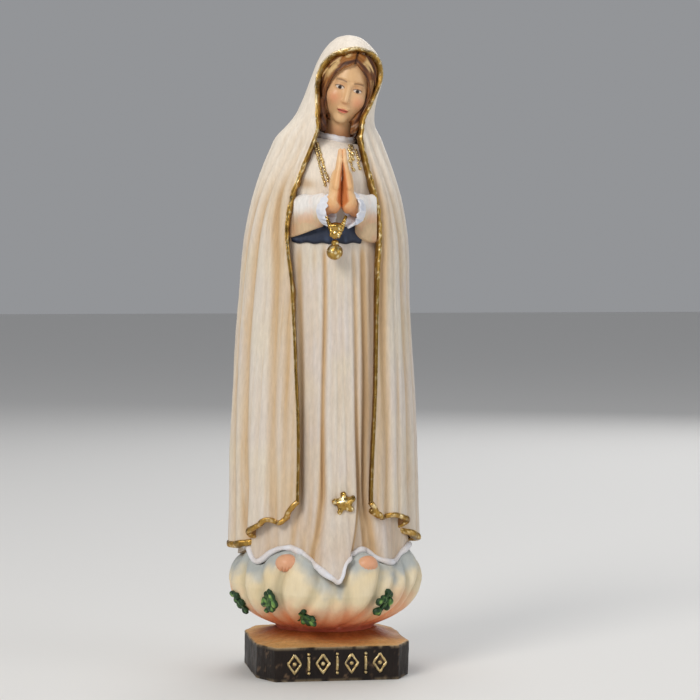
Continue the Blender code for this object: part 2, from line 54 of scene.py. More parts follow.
# Mantle: height, centre x, centre y, half width, half depth
MANTLE = [
    (18.0, -0.3, 0.0, 18.5, 15.3), (28.0, -0.35, 0.0, 18.3, 15.2), (46.0, -0.4, 0.0, 17.8, 14.7),
    (70.0, -0.2, 0.2, 16.3, 13.8), (83.0, 0.2, 0.2, 15.4, 13.4), (90.0, 0.35, 0.1, 14.0, 12.6),
    (95.0, 0.4, 0.0, 12.4, 11.4), (99.0, 0.45, -0.3, 10.8, 10.3), (101.2, 0.5, -0.7, 9.8, 9.7),
    (103.0, 0.8, -1.3, 8.4, 9.1), (105.0, 1.5, -1.8, 7.45, 8.7), (107.5, 2.25, -2.4, 6.95, 8.5),
    (112.5, 3.8, -3.0, 6.6, 8.0), (115.5, 4.15, -3.1, 5.75, 7.1), (118.0, 4.1, -3.1, 4.15, 5.2),
    (119.3, 4.05, -3.1, 2.75, 3.5), (119.9, 4.0, -3.1, 1.65, 2.1), (TOP, 4.0, -3.1, 0.3, 0.4),
]
MANTLE_WALL = 1.0
# The mantle's lower edge: angle, height
MANTLE_HEM = [
    (-180, 23.7), (-110, 23.8), (-84, 24.1), (-71, 24.4), (-65, 25.1), (-61, 25.8), (-57, 26.8),
    (-50, 28.4), (-42, 29.6), (-37, 29.1), (-33, 29.2), (-25, 32.2), (24, 32.0), (27, 30.6), (30, 30.0),
    (40, 30.2), (48, 29.7), (53, 29.0), (57, 28.0), (62, 26.9), (67, 26.0), (75, 25.3), (90, 24.6),
    (110, 24.0), (180, 23.7),
]
# Where the lower edge doubles back under itself: angle, how far it swings round, depth, half width
RUFFLES = [
    (-61, 5.2, 3.0, 9.0), (58.5, 5.4, 3.0, 9.0), (104, 3.0, 1.8, 10.0), (-106, 3.0, 1.8, 10.0),
    (150, 2.5, 1.4, 11.0), (-150, 2.5, 1.4, 11.0),
]
# The front opening: height, left edge x, right edge x
OPENING = [
    (16.0, -7.1, 6.5), (32.5, -7.1, 6.5), (39.0, -6.95, 6.7), (47.0, -6.95, 7.1), (54.8, -7.2, 7.45),
    (62.6, -7.4, 7.7), (70.8, -7.7, 8.0), (76.0, -7.95, 8.25), (80.0, -8.3, 8.55), (84.0, -8.45, 8.7),
    (87.6, -8.15, 8.4), (91.0, -7.3, 7.6), (94.0, -6.0, 6.8), (97.3, -4.5, 6.0), (101.5, -2.9, 5.5),
    (104.5, -2.55, 6.1), (108.0, -2.6, 8.0), (111.3, -2.35, 9.45), (113.4, -1.8, 9.7), (115.0, -0.9, 9.2),
    (116.0, 0.3, 8.3), (116.6, 1.8, 7.1), (116.9, 4.6, 4.6),
]
BRIM_TOP = 116.9
OPENING_HEM = 32.0
# Mantle folds: the valley's angle low down, at 76, 92 and 101 high, then half width in degrees and depth
MANTLE_VALLEYS = [
    (-61, -66, -60, -47, 4.4, 0.9), (-39, -42, -47, -35, 3.6, 0.75), (-31, -31, -36, -26, 2.0, 0.35),
    (-50, -51, -54, -42, 2.0, 0.16), (-77, -80, -74, -62, 4.0, 0.5), (35, 36, 37, 33, 3.0, 0.7),
    (58.5, 58, 54, 47, 3.6, 0.6), (46, 46, 46, 41, 1.6, 0.14), (72, 71, 68, 60, 3.4, 0.35),
]
MANTLE_BACK_VALLEYS = range(90, 271, 15)
# Gown: height, centre x, centre y, half width, half depth
GOWN = [
    (17.0, -0.2, 0.0, 16.2, 14.4), (24.0, -0.2, 0.0, 16.0, 13.9), (34.0, -0.3, 0.0, 15.9, 13.0),
    (52.0, -0.3, 0.0, 15.2, 12.5), (70.0, -0.2, 0.2, 14.3, 12.0), (79.0, 0.0, 0.2, 13.6, 11.6),
    (82.5, 0.1, 0.2, 13.2, 11.1), (86.0, 0.2, 0.1, 12.9, 10.9), (91.0, 0.3, 0.0, 12.0, 10.7),
    (93.0, 0.4, 0.0, 11.2, 10.9), (95.5, 0.5, -0.2, 9.9, 10.4), (98.0, 0.9, -0.7, 8.2, 8.6),
    (99.4, 1.2, -1.3, 7.2, 6.4), (100.3, 1.5, -1.8, 5.6, 4.2), (100.6, 1.5, -1.8, 3.4, 2.8),
]
GOWN_TOP = 100.6
# The gown's lower edge: angle, height
GOWN_HEM = [
    (-180, 22.6), (-84, 22.8), (-70, 23.9), (-58, 21.3), (-45, 23.3), (-36, 24.1), (-27, 24.0),
    (-21, 23.0), (-15, 21.6), (-8, 20.0), (-2, 18.7), (1.0, 18.2), (3.0, 19.2), (5.0, 21.3),
    (7.5, 22.2), (13, 23.2), (22, 23.6), (31, 22.0), (43, 21.0), (52, 21.3), (60, 22.6), (70, 23.6),
    (84, 22.8), (180, 22.6),
]
# Gown folds: the valley's x at 34 and at 80 high, half width, depth, stain
GOWN_VALLEYS = [
    (-6.3, -6.2, 0.5, 0.25, 0.5), (-4.4, -3.8, 0.4, 0.2, 0.3), (-2.3, -1.8, 0.4, 0.6, 1.0),
    (0.4, 0.4, 0.3, 0.15, 0.25), (2.1, 1.6, 0.3, 0.15, 0.25), (4.6, 3.7, 0.4, 0.45, 0.7),
    (6.0, 5.8, 0.6, 0.5, 1.0),
]
# The long front fold: height, its left edge, its right edge, how far it stands out
FRONT_FOLD = [
    (17, -4.4, 0.9, 2.4), (20, -4.2, 1.4, 2.3), (23.5, -3.8, 2.5, 1.7), (28, -3.0, 3.4, 1.1),
    (32, -2.5, 3.9, 0.75), (44, -1.9, 4.0, 0.4), (60, -1.6, 3.6, 0.25), (80, -1.4, 3.2, 0.1),
]
# Cloud: share of its half width, height at the sides and back, height at the front
CLOUD = [
    (0.505, 8.0, 8.0), (0.53, 8.8, 8.8), (0.6, 9.5, 9.4), (0.75, 10.9, 10.4), (0.88, 12.7, 11.9),
    (0.965, 15.0, 13.6), (1.0, 17.5, 15.6),
]
# Above its widest the cloud rises to meet the gown: share of the half width, share of the rise
CLOUD_BANK = [(1.0, 0.0), (0.987, 0.3), (0.955, 0.62), (0.905, 0.86), (0.84, 1.0), (0.5, 1.1)]
CLOUD_SIDE_TOP = 22.2
CLOUD_HALF = (18.15, 16.8)
# Grooves between the cloud's lobes: angle at mid height, slant in degrees per millimetre up, depth
CLOUD_GROOVES = [
    (-86, 0.3, 0.7), (-69, 0.4, 0.9), (-51, -0.3, 0.75), (-36, 0.6, 0.95), (-20, 1.2, 0.8),
    (-5, 1.9, 0.6), (5, -1.0, 0.75), (19, 2.2, 0.9), (33, 2.4, 0.6), (44, 2.2, 0.9), (60, 1.6, 0.75),
    (77, 1.2, 0.8), (94, 0.6, 0.7), (110, 1.0, 0.7), (128, 0.4, 0.6), (145, 0.9, 0.8), (164, 0.5, 0.7),
    (-176, 0.8, 0.6), (-157, 0.5, 0.8), (-138, 0.2, 0.6), (-120, 0.6, 0.7), (-102, 0.1, 0.6),
]
# Leaf clusters: angle, height, how far each is turned from level
LEAVES = [
    (-77, 13.6, 125), (-44, 14.6, 60), (-21, 11.6, 185), (29, 14.3, 75), (98, 13.8, 60),
    (150, 14.8, 110), (-145, 13.4, 80),
]
# Pairs of lobes in a leaf cluster: distance from its middle vein, place along it, radius
LEAF_LOBES = [(0.75, 1.25, 0.62), (1.2, 0.2, 0.74), (0.95, -0.95, 0.64)]

PLINTH_HALF = (14.5, 15.3)
PLINTH_CORNER = (2.9, 6.0)
PLINTH_EDGE_HEIGHT = 6.4
PLINTH_TOP = 8.2
FOOT_RING = (9.5, 8.8)

HEAD_CENTRE = Vector((3.7, -4.3, 110.8))
HEAD_LEAN, HEAD_BOW, HEAD_TURN = 14.0, 14.0, -3.0
NECK_FOOT, NECK_HEAD = (1.4, -1.9, 99.3), (3.0, -3.7, 107.2)
HANDS_X, HANDS_Y, WRIST_HEIGHT = 1.0, -14.3, 87.2
PENDANT_X, PENDANT_Y = -0.35, -14.6
STAR_X, STAR_HEIGHT = 1.45, 32.9
COLLAR_CENTRE, COLLAR_HALF, COLLAR_LEAN = (1.45, -1.9, 101.25), (3.5, 4.5), (0.19, -0.06, 1.0)

# ---------------------------------------------------------------- colours


def seen(red, green, blue):
    """A colour as the eye sees it, 0 to 255, turned into the linear numbers that shaders use."""
    share = np.array([red, green, blue]) / 255
    return np.where(share <= 0.04045, share / 12.92, ((share + 0.055) / 1.055) ** 2.4)


CREAM = seen(232, 222, 202)
LAVENDER = seen(225, 215, 208)
PAINTED_LIGHT_CREAM = seen(252, 241, 226)
PEACH = seen(213, 183, 143)
TAN = seen(178, 138, 94)
WHITE = seen(236, 238, 246)
SLEEVE_WHITE = seen(244, 240, 236)
SLEEVE_ROSE = seen(232, 176, 142)
CUFF_SHADE = seen(206, 212, 228)
NAVY = seen(44, 54, 76)
NAVY_LIGHT = seen(86, 104, 138)
NAVY_DARK = seen(20, 24, 40)

GOLD = seen(192, 154, 80)
OCHRE = seen(150, 98, 34)
GOLD_PAINTED_GLINT = seen(255, 236, 184)
GOLD_BRIGHT = seen(255, 232, 176)
GOLD_PALE = seen(246, 228, 192)
GOLD_CREAM = seen(244, 226, 178)
GOLD_WARM = seen(196, 148, 76)
GOLD_DULL = seen(146, 114, 52)
GOLD_BROWN = seen(128, 88, 34)
GOLD_WORN = seen(92, 68, 26)
GOLD_DARK = seen(84, 62, 24)

SKIN = seen(227, 182, 132)
SKIN_LIGHT = seen(240, 203, 156)
SKIN_WARM = seen(214, 140, 98)
SKIN_SHADE = seen(206, 142, 100)
BLUSH = seen(226, 128, 92)
LIPS = seen(204, 92, 76)
MOUTH = seen(132, 48, 40)
EYE_DARK = seen(36, 24, 20)
EYE_WHITE = seen(238, 226, 212)
UPPER_LID = seen(58, 34, 24)
LOWER_LID = seen(150, 92, 62)
BROW = seen(104, 62, 34)
FEET = seen(230, 178, 140)
HAND = seen(237, 185, 130)
HAND_LIGHT = seen(246, 206, 158)
HAND_WARM = seen(226, 136, 84)
HAND_SHADE = seen(208, 124, 66)

HAIR_DARK = seen(70, 36, 18)
HAIR_MID = seen(134, 80, 36)
HAIR_WARM = seen(178, 118, 54)
HAIR_PAINTED_SHEEN = seen(160, 144, 128)
HAIR_LIGHT = seen(226, 190, 132)

CLOUD_CREAM = seen(233, 212, 168)
CLOUD_WHITE = seen(242, 228, 198)
CLOUD_PEACH = seen(232, 168, 124)
CLOUD_SALMON = seen(238, 148, 100)
CLOUD_ROSE = seen(214, 96, 84)
CLOUD_RUST = seen(176, 84, 62)
CLOUD_SHADE_GREY = seen(168, 180, 186)
CLOUD_MOSS = seen(192, 180, 146)
LEAF_DARK = seen(22, 58, 26)
LEAF_LIGHT = seen(112, 160, 78)
LEAF_TIP = seen(176, 196, 104)

PLINTH_BLACK = seen(24, 20, 20)
PLINTH_DARK = seen(42, 33, 28)
PLINTH_WORN = seen(132, 106, 82)
PLINTH_RUBBED = seen(168, 148, 118)
PLINTH_TAN = seen(212, 158, 90)
PLINTH_PALE = seen(226, 186, 126)
PLINTH_RUST = seen(152, 74, 28)


def coated(paint, *coats):
    """The paint under coats laid in order, each a colour and the share of it that shows."""
    for coat, share in coats:
        share = np.clip(share, 0, 1)[..., None]
        paint = paint * (1 - share) + coat * share
    return paint


# ---------------------------------------------------------------- numbers


def between(stations, at):
    """The smooth in-between of rows of numbers whose first number is the place."""
    table = np.array(stations, float)
    places, values = table[:, 0], table[:, 1:]
    slopes = np.gradient(values, places, axis=0)
    at = np.clip(np.asarray(at, float), places[0], places[-1])
    low = np.clip(np.searchsorted(places, at) - 1, 0, len(places) - 2)
    span = (places[low + 1] - places[low])[..., None]
    share = (at - places[low])[..., None] / span
    return (
        (2 * share**3 - 3 * share**2 + 1) * values[low]
        + (share**3 - 2 * share**2 + share) * span * slopes[low]
        + (3 * share**2 - 2 * share**3) * values[low + 1]
        + (share**3 - share**2) * span * slopes[low + 1]
    )


def ramp(low, high, at):
    """0 below low, 1 above high, and smooth between them."""
    share = np.clip((at - low) / (high - low), 0, 1)
    return share * share * (3 - 2 * share)


def fall(low, high, at):
    """1 below low, 0 above high, and smooth between them."""
    return 1 - ramp(low, high, at)


def bell(distance, half_width):
    """1 at no distance, and nearly 0 from twice the half width on."""
    return np.exp(-((distance / half_width) ** 2))


def full_turn(count):
    """Evenly spread angles all the way round, in radians."""
    return np.linspace(0, 2 * math.pi, count, endpoint=False)


def curve(stations, at):
    """The smooth in-between of (place, value) pairs."""
    return between(stations, at)[..., 0]


# Noise is laid askew, so that its cells never line up with a surface
NOISE_TURN = np.array(
    Matrix.Rotation(0.9, 3, "X") @ Matrix.Rotation(0.6, 3, "Y") @ Matrix.Rotation(0.4, 3, "Z")
)
# Times a point or a direction, this leaves its level part
LEVEL = np.array([1.0, 1.0, 0.0])


def cloudy(points, size, seed=0):
    """Noise in three sizes, from 0 to 1."""
    layers = ((4, 1.0, 0), (2, 2.1, 7), (1, 4.3, 13))
    return sum(weight * noise(points, size / finer, seed + step) for weight, finer, step in layers) / 7


def noise(points, size, seed=0):
    """Smooth noise from 0 to 1 that is the same each run."""
    scaled = np.asarray(points, float) @ NOISE_TURN / size
    base = np.floor(scaled).astype(np.int64)
    share = scaled - base
    share = share * share * (3 - 2 * share)
    total = 0.0
    for corner in itertools.product((0, 1), repeat=3):
        i, j, k = (base[..., axis] + corner[axis] for axis in range(3))
        mash = (i * 374761393 + j * 668265263 + k * 1442695041 + seed * 97463477) & 0xFFFFFFFF
        mash = ((mash ^ (mash >> 13)) * 1274126177) & 0xFFFFFFFF
        weight = 1.0
        for axis in range(3):
            weight = weight * (share[..., axis] if corner[axis] else 1 - share[..., axis])
        total = total + weight * (((mash ^ (mash >> 16)) & 0xFFFF) / 65535.0)
    return total


def grain(points, seed=0):
    """Upright brush strokes and wood fibre, from -1 to 1."""
    stretched = points * np.array([1.0, 1.0, 0.12])
    return noise(stretched, 0.55, seed) + noise(stretched, 1.6, seed + 1) - 1.0


# ---------------------------------------------------------------- materials


def add_node(tree, kind, **inputs):
    """A shader node with its inputs set to numbers or linked to other nodes' outputs."""
    made = tree.nodes.new("ShaderNode" + kind)
    for name, value in inputs.items():
        socket = made.inputs[name.replace("_", " ")]
        if isinstance(value, bpy.types.NodeSocket):
            tree.links.new(value, socket)
        else:
            socket.default_value = value
    return made


def spread_noise(tree, noise_value, low, high):
    """The noise's middle range stretched to run from low to high."""
    stretch = {"From_Min": 0.3, "From_Max": 0.7, "To_Min": low, "To_Max": high}
    return add_node(tree, "MapRange", Value=noise_value, **stretch).outputs["Result"]


def painted(name, roughness, bump=0.25, fibre=260.0, mottle=0.12, shine=0.4):
    """Hand-laid paint over wood: the piece's own colours, mottled, with brush relief and uneven gloss."""
    made = bpy.data.materials.new(name)
    made.use_nodes = True
    tree = made.node_tree
    own_colour = add_node(tree, "Attribute")
    own_colour.attribute_name = "paint"
    place = add_node(tree, "TexCoord").outputs["Object"]
    upright = add_node(tree, "Mapping", Vector=place, Scale=(1.0, 1.0, 0.22)).outputs["Vector"]
    fine_noise = add_node(tree, "TexNoise", Vector=upright, Scale=fibre * 8, Detail=5.0, Roughness=0.65)
    fine = fine_noise.outputs["Fac"]
    broad = add_node(tree, "TexNoise", Vector=place, Scale=fibre, Detail=3.0).outputs["Fac"]
    value = spread_noise(tree, fine, 1.0 - mottle, 1.0 + mottle * 0.5)
    tint = add_node(tree, "HueSaturation", Color=own_colour.outputs["Color"], Value=value)
    relief = add_node(tree, "Bump", Strength=bump, Distance=0.0002, Height=fine)
    shader = tree.nodes["Principled BSDF"]
    shader.inputs["Specular IOR Level"].default_value = shine
    tree.links.new(tint.outputs["Color"], shader.inputs["Base Color"])
    tree.links.new(spread_noise(tree, broad, roughness - 0.1, roughness + 0.1), shader.inputs["Roughness"])
    tree.links.new(relief.outputs["Normal"], shader.inputs["Normal"])
    return made


def gilded(name, roughness, lumps=2600.0):
    """Gold paint: bright metal with dark worn specks and a hammered, brushed-on surface."""
    made = painted(name, roughness + 0.06, bump=0.6, fibre=lumps / 8, mottle=0.3)
    made.node_tree.nodes["Principled BSDF"].inputs["Metallic"].default_value = 1.0
    return made


# ---------------------------------------------------------------- meshes


def add_piece(name, points, faces, paint, slot, material=None):
    """Makes a piece of points in millimetres, which stands for the node of its name where there is one."""
    corners = points[np.array([face[:3] for face in faces])]
    if np.einsum("ij,ij->i", corners[:, 0], np.cross(corners[:, 1], corners[:, 2])).sum() < 0:
        faces = [face[::-1] for face in faces]
    mesh = bpy.data.meshes.new(name)
    mesh.from_pydata((points * MM).tolist(), [], faces)
    mesh.update()
    layer = mesh.color_attributes.new("paint", "FLOAT_COLOR", "POINT")
    rgba = np.ones((len(points), 4), np.float32)
    rgba[:, :3] = np.clip(paint, 0, 1)
    layer.data.foreach_set("color", rgba.ravel())
    mesh.shade_smooth()
    mesh.materials.append(MATERIALS[material or slot])
    piece = bpy.data.objects.new(name, mesh)
    bpy.context.scene.collection.objects.link(piece)
    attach(piece, "root")
    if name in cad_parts:
        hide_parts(name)


def ring_faces(index, closed=True):
    """Quads between neighbouring rows of a table of point numbers."""
    following = np.roll(index, -1, axis=1) if closed else index[:, 1:]
    here = index if closed else index[:, :-1]
    quads = np.stack([here[:-1], following[:-1], following[1:], here[1:]], axis=-1)
    return quads.reshape(-1, 4).tolist()


def capped_loft(rings):
    """Points and faces of a closed solid through rings (rows, around, 3), ended by fans."""
    rows, around = rings.shape[:2]
    index = np.arange(rows * around).reshape(rows, around)
    points = np.concatenate([rings.reshape(-1, 3), rings[:1].mean(1), rings[-1:].mean(1)])
    faces = ring_faces(index)
    first, last = rows * around, rows * around + 1
    for i in range(around):
        following = (i + 1) % around
        faces.append([int(index[0, following]), int(index[0, i]), first])
        faces.append([int(index[-1, i]), int(index[-1, following]), last])
    return points, faces


def unit(vectors):
    return vectors / np.maximum(np.linalg.norm(vectors, axis=-1, keepdims=True), 1e-9)


def square_to(way, outward):
    """(the unit way, the unit direction nearest to outward that is square to it) for rows of directions."""
    way = unit(way)
    return way, unit(outward - way * np.einsum("ij,ij->i", outward, way)[:, None])


def spokes(way, outward, around):
    """Unit directions all round a path at each of its points."""
    way, outward = square_to(way, outward)
    turns = full_turn(around)[None, :, None]
    return np.cross(way, outward)[:, None] * np.cos(turns) + outward[:, None] * np.sin(turns)


def tube(path, radius, around, lump, lump_size, seed):
    """A closed bar along a path of points; radius may differ along it, and lumps make it uneven."""
    arms = spokes(np.gradient(path, axis=0), path * LEVEL, around)
    rings = path[:, None] + arms * np.broadcast_to(radius, len(path))[:, None, None]
    rings = rings + arms * (lump * (noise(rings, lump_size, seed) - 0.4))[..., None]
    return capped_loft(rings)


def tube_loop(path, radius, around, lump, seed):
    """A closed ring of round section along a loop of points."""
    arms = spokes(np.roll(path, -1, axis=0) - np.roll(path, 1, axis=0), path - path.mean(0), around)
    rings = path[:, None] + arms * radius
    rings = rings + arms * (lump * (noise(rings, 0.8, seed) - 0.5))[..., None]
    index = np.arange(len(path) * around).reshape(len(path), around)
    return rings.reshape(-1, 3), ring_faces(np.concatenate([index, index[:1]]))


def joined(solids):
    """Several (points, faces) as one."""
    points, faces, start = [], [], 0
    for some_points, some_faces in solids:
        points.append(some_points)
        faces += [[corner + start for corner in face] for face in some_faces]
        start += len(some_points)
    return np.concatenate(points), faces


def bead(centre, radius, around=10, rows=7):
    """A small ball."""
    tilt = np.linspace(-math.pi / 2, math.pi / 2, rows + 2)[1:-1]
    turn = full_turn(around)
    x = np.cos(tilt)[:, None] * np.cos(turn)[None]
    y = np.cos(tilt)[:, None] * np.sin(turn)[None]
    z = np.repeat(np.sin(tilt)[:, None], around, axis=1)
    return capped_loft(np.asarray(centre) + radius * np.stack([x, y, z], axis=-1))


# ---------------------------------------------------------------- solids from distance fields


def to_ball(p, centre, radius):
    return np.linalg.norm(p - np.asarray(centre), axis=-1) - radius


def to_egg(p, centre, half):
    """About the distance to an ellipsoid."""
    moved = p - np.asarray(centre)
    half = np.asarray(half, float)
    near = np.linalg.norm(moved / half, axis=-1)
    far = np.linalg.norm(moved / (half * half), axis=-1)
    return near * (near - 1.0) / np.maximum(far, 1e-9)


def to_bar(p, start, end, first_radius, last_radius):
    """The distance to a round bar whose radius changes from one end to the other."""
    start, end = np.asarray(start, float), np.asarray(end, float)
    along = end - start
    share = np.clip(((p - start) @ along) / (along @ along), 0, 1)
    return np.linalg.norm(p - start - share[..., None] * along, axis=-1) - (
        first_radius + (last_radius - first_radius) * share
    )


def in_mantle(p, inset):
    """Negative within the mantle's oval, drawn in by inset."""
    found = between(MANTLE, p[..., 2])
    half = found[..., 2:] - inset
    off = (p[..., :2] - found[..., :2]) / np.maximum(half, 0.2)
    return (np.hypot(off[..., 0], off[..., 1]) - 1) * half.min(axis=-1)


def merged(first, second, soft):
    """The union of two fields with a fillet."""
    near = np.clip(0.5 + 0.5 * (second - first) / soft, 0, 1)
    return second * (1 - near) + first * near - soft * near * (1 - near)


def cut(first, second, soft):
    """The first field without the second, with a rounded edge."""
    return -merged(-first, second, soft)


def polygonised(field_of, low, high, step):
    """Points and faces of the surface where a field is zero, one point in each cell that it crosses."""
    low, high = np.asarray(low, float), np.asarray(high, float)
    counts = np.ceil((high - low) / step).astype(int) + 1
    axes = [low[i] + step * np.arange(counts[i]) for i in range(3)]
    places = np.stack(np.meshgrid(*axes, indexing="ij"), axis=-1)
    field = field_of(places)
    for axis in range(3):
        for end in (0, -1):
            rim = [slice(None)] * 3
            rim[axis] = end
            field[tuple(rim)] = np.maximum(field[tuple(rim)], 0.3 * step)
    inside = field < 0
    cells = counts - 1
    corners = list(itertools.product((0, 1), repeat=3))
    around = sum(
        inside[i : i + cells[0], j : j + cells[1], k : k + cells[2]].astype(np.int8) for i, j, k in corners
    )
    crossed = np.argwhere((around > 0) & (around < 8))
    number = np.full(cells, -1)
    number[tuple(crossed.T)] = np.arange(len(crossed))
    values = {corner: field[tuple((crossed + corner).T)] for corner in corners}
    total, hits = np.zeros((len(crossed), 3)), np.zeros(len(crossed))
    for corner in corners:
        for axis in range(3):
            if corner[axis]:
                continue
            other = tuple(1 if i == axis else corner[i] for i in range(3))
            one, two = values[corner], values[other]
            hit = (one < 0) != (two < 0)
            share = np.where(hit, one / np.where(hit, one - two, 1), 0)
            at = np.repeat(np.array(corner, float)[None], len(crossed), axis=0)
            at[:, axis] = share
            total += at * hit[:, None]
            hits += hit
    points = low + step * (crossed + total / hits[:, None])
    faces = []
    for axis in range(3):
        first, second = (axis + 1) % 3, (axis + 2) % 3
        start = [slice(None)] * 3
        end = [slice(None)] * 3
        start[axis], end[axis] = slice(0, -1), slice(1, None)
        edges = np.argwhere(inside[tuple(start)] != inside[tuple(end)])
        flips = inside[tuple(start)][tuple(edges.T)]
        back, side = np.zeros(3, int), np.zeros(3, int)
        back[first], side[second] = 1, 1
        quad = [number[tuple((edges - offset).T)] for offset in (back + side, side, 0 * side, back)]
        quads = np.stack(quad, axis=-1)
        quads[~flips] = quads[~flips][:, ::-1]
        faces += quads.tolist()
    return points, faces


# ---------------------------------------------------------------- camera, floor and light


def make_camera():
    """At the height of the waist, a little to the figure's right, and looking down slightly."""
    data = bpy.data.cameras.new("camera")
    data.sensor_width = 36.0
    data.lens = 18.0 / math.tan(math.radians(15.15 / 2))
    camera = bpy.data.objects.new("camera", data)
    bpy.context.scene.collection.objects.link(camera)
    turn = math.radians(9.0)
    back = Vector((-math.sin(turn), -math.cos(turn), 0.0))
    right = Vector((math.cos(turn), -math.sin(turn), 0.0))
    distance, height, aim_height, aside = 0.500, 0.079, 0.0608, 0.00475
    camera.location = back * distance + right * aside + Vector((0, 0, height))
    aim = right * aside + Vector((0, 0, aim_height))
    camera.rotation_euler = (aim - camera.location).to_track_quat("-Z", "Y").to_euler()
    data.clip_start, data.clip_end = 0.01, 10.0
    bpy.context.scene.camera = camera


def make_floor():
    mesh = bpy.data.meshes.new("floor")
    edge = 3.0
    corners = [(-edge, -edge, 0), (edge, -edge, 0), (edge, edge, 0), (-edge, edge, 0)]
    mesh.from_pydata(corners, [], [range(4)])
    floor = bpy.data.objects.new("floor", mesh)
    bpy.context.scene.collection.objects.link(floor)
    material = bpy.data.materials.new("floor_pale")
    material.use_nodes = True
    shader = material.node_tree.nodes["Principled BSDF"]
    shader.inputs["Base Color"].default_value = (0.78, 0.77, 0.75, 1.0)
    shader.inputs["Roughness"].default_value = 0.7
    mesh.materials.append(material)


def make_light(name, place, aim, size, power, tint=(1.0, 1.0, 1.0)):
    """A round soft light; its places and its size are in metres."""
    data = bpy.data.lights.new(name, "AREA")
    data.shape = "DISK"
    data.size = size
    data.energy = power
    data.color = tint
    light = bpy.data.objects.new(name, data)
    bpy.context.scene.collection.objects.link(light)
    light.location = Vector(place)
    light.rotation_euler = (Vector(aim) - Vector(place)).to_track_quat("-Z", "Y").to_euler()


def make_lights():
    aim = (0.0, 0.0, 0.06)
    make_light("key", (-0.45, -0.55, 0.50), aim, 0.35, 3.3, (1.0, 0.96, 0.90))
    make_light("fill", (0.60, -0.45, 0.22), aim, 0.45, 1.0, (0.97, 0.98, 1.0))
    make_light("above", (0.05, 0.10, 0.70), aim, 0.40, 1.5)
    make_light("behind", (0.30, 0.60, 0.35), aim, 0.40, 0.9)
    world = bpy.data.worlds.new("studio")
    world.use_nodes = True
    world.node_tree.nodes["Background"].inputs["Color"].default_value = (0.86, 0.88, 0.92, 1.0)
    world.node_tree.nodes["Background"].inputs["Strength"].default_value = 0.34
    bpy.context.scene.world = world
    bpy.context.scene.view_settings.view_transform = "Standard"


# ---------------------------------------------------------------- mantle


def on_oval(stations, angle, height, out=0.0):
    found = between(stations, height)
    turn = np.radians(angle)
    x = found[..., 0] + (found[..., 2] + out) * np.sin(turn)
    y = found[..., 1] - (found[..., 3] + out) * np.cos(turn)
    return np.stack([x, y, np.broadcast_to(height, x.shape)], axis=-1)


def wrapped(angle):
    return (angle + 180.0) % 360.0 - 180.0


def mantle_folds(angle, height):
    """(how far the surface swings round, how far it moves out, how deep in a fold it is) for the mantle."""
    angle = wrapped(angle)
    swing, out, stain = np.zeros_like(angle), np.full_like(angle, 0.08), np.zeros_like(angle)
    fade = 1 - 0.85 * ramp(98, 108, height)
    low_down = fall(24, 44, height)
    for low, waist, breast, neck, width, depth in MANTLE_VALLEYS:
        at = curve([(30, low), (76, waist), (92, breast), (101, neck), (118, neck * 0.75)], height)
        sway = 0.8 * np.sin(height / 11.0 + low)
        near = bell(wrapped(angle - at - sway), width * (1 + 0.3 * ramp(80, 100, height)))
        out -= depth * near * fade * (1 + 0.6 * low_down)
        stain += min(0.8, depth) * near * fade * (1 - 0.5 * ramp(88, 98, height))
    for number, low in enumerate(MANTLE_BACK_VALLEYS):
        sway = 2.5 * np.sin(height / 17.0 + number * 1.7)
        near = bell(wrapped(angle - low - sway), 3.8 + number % 3)
        depth = 0.6 + 0.3 * (number % 2)
        rise = fall(84 + 6 * (number % 3), 108, height)
        out -= depth * near * rise
        stain += 0.55 * depth * near * rise * (1 - 0.6 * ramp(80, 96, height))
    ways = np.stack([angle + 3.0 * np.sin(height / 19.0), height / 9.0, 0 * angle], axis=-1)
    fine = noise(ways, 2.6, 5) + noise(ways, 1.2, 6) - 1.0
    out += 0.16 * fine * fade
    stain += 0.8 * np.maximum(0, -fine) ** 1.5 * fade
    # the paint is warmer beside the front opening
    edge = between(OPENING, np.clip(height, OPENING_HEM, 96))
    x = on_oval(MANTLE, angle, height)[..., 0]
    front = ramp(0.3, 0.5, np.cos(np.radians(angle))) * fall(92, 99, height)
    stain += (0.55 * bell(x - edge[..., 0] + 1.5, 1.7) + 0.7 * bell(x - edge[..., 1] - 1.3, 1.3)) * front
    for at, swings, depth, width in RUFFLES:
        off = wrapped(angle - at)
        grown = fall(25.5, 38, height) * bell(off, width)
        swing -= swings * np.sin(math.pi * off / width) * grown
        inner = bell(off + math.copysign(1.0, -at) * 0.25 * width, width * 0.45)
        out -= depth * inner * fall(25.5, 38, height)
        stain += 0.9 * inner * fall(25.5, 36, height)
    return swing, out, stain


def grid_normals(grid):
    """Outward directions over a table of points whose columns go round and whose rows go up."""
    round_way, up_way = np.gradient(grid, axis=1), np.gradient(grid, axis=0)
    normal = unit(np.cross(round_way, up_way))
    middle = grid.reshape(-1, 3).mean(0)
    facing = np.einsum("ijk,ijk->ij", normal, grid - middle).sum()
    return normal if facing > 0 else -normal


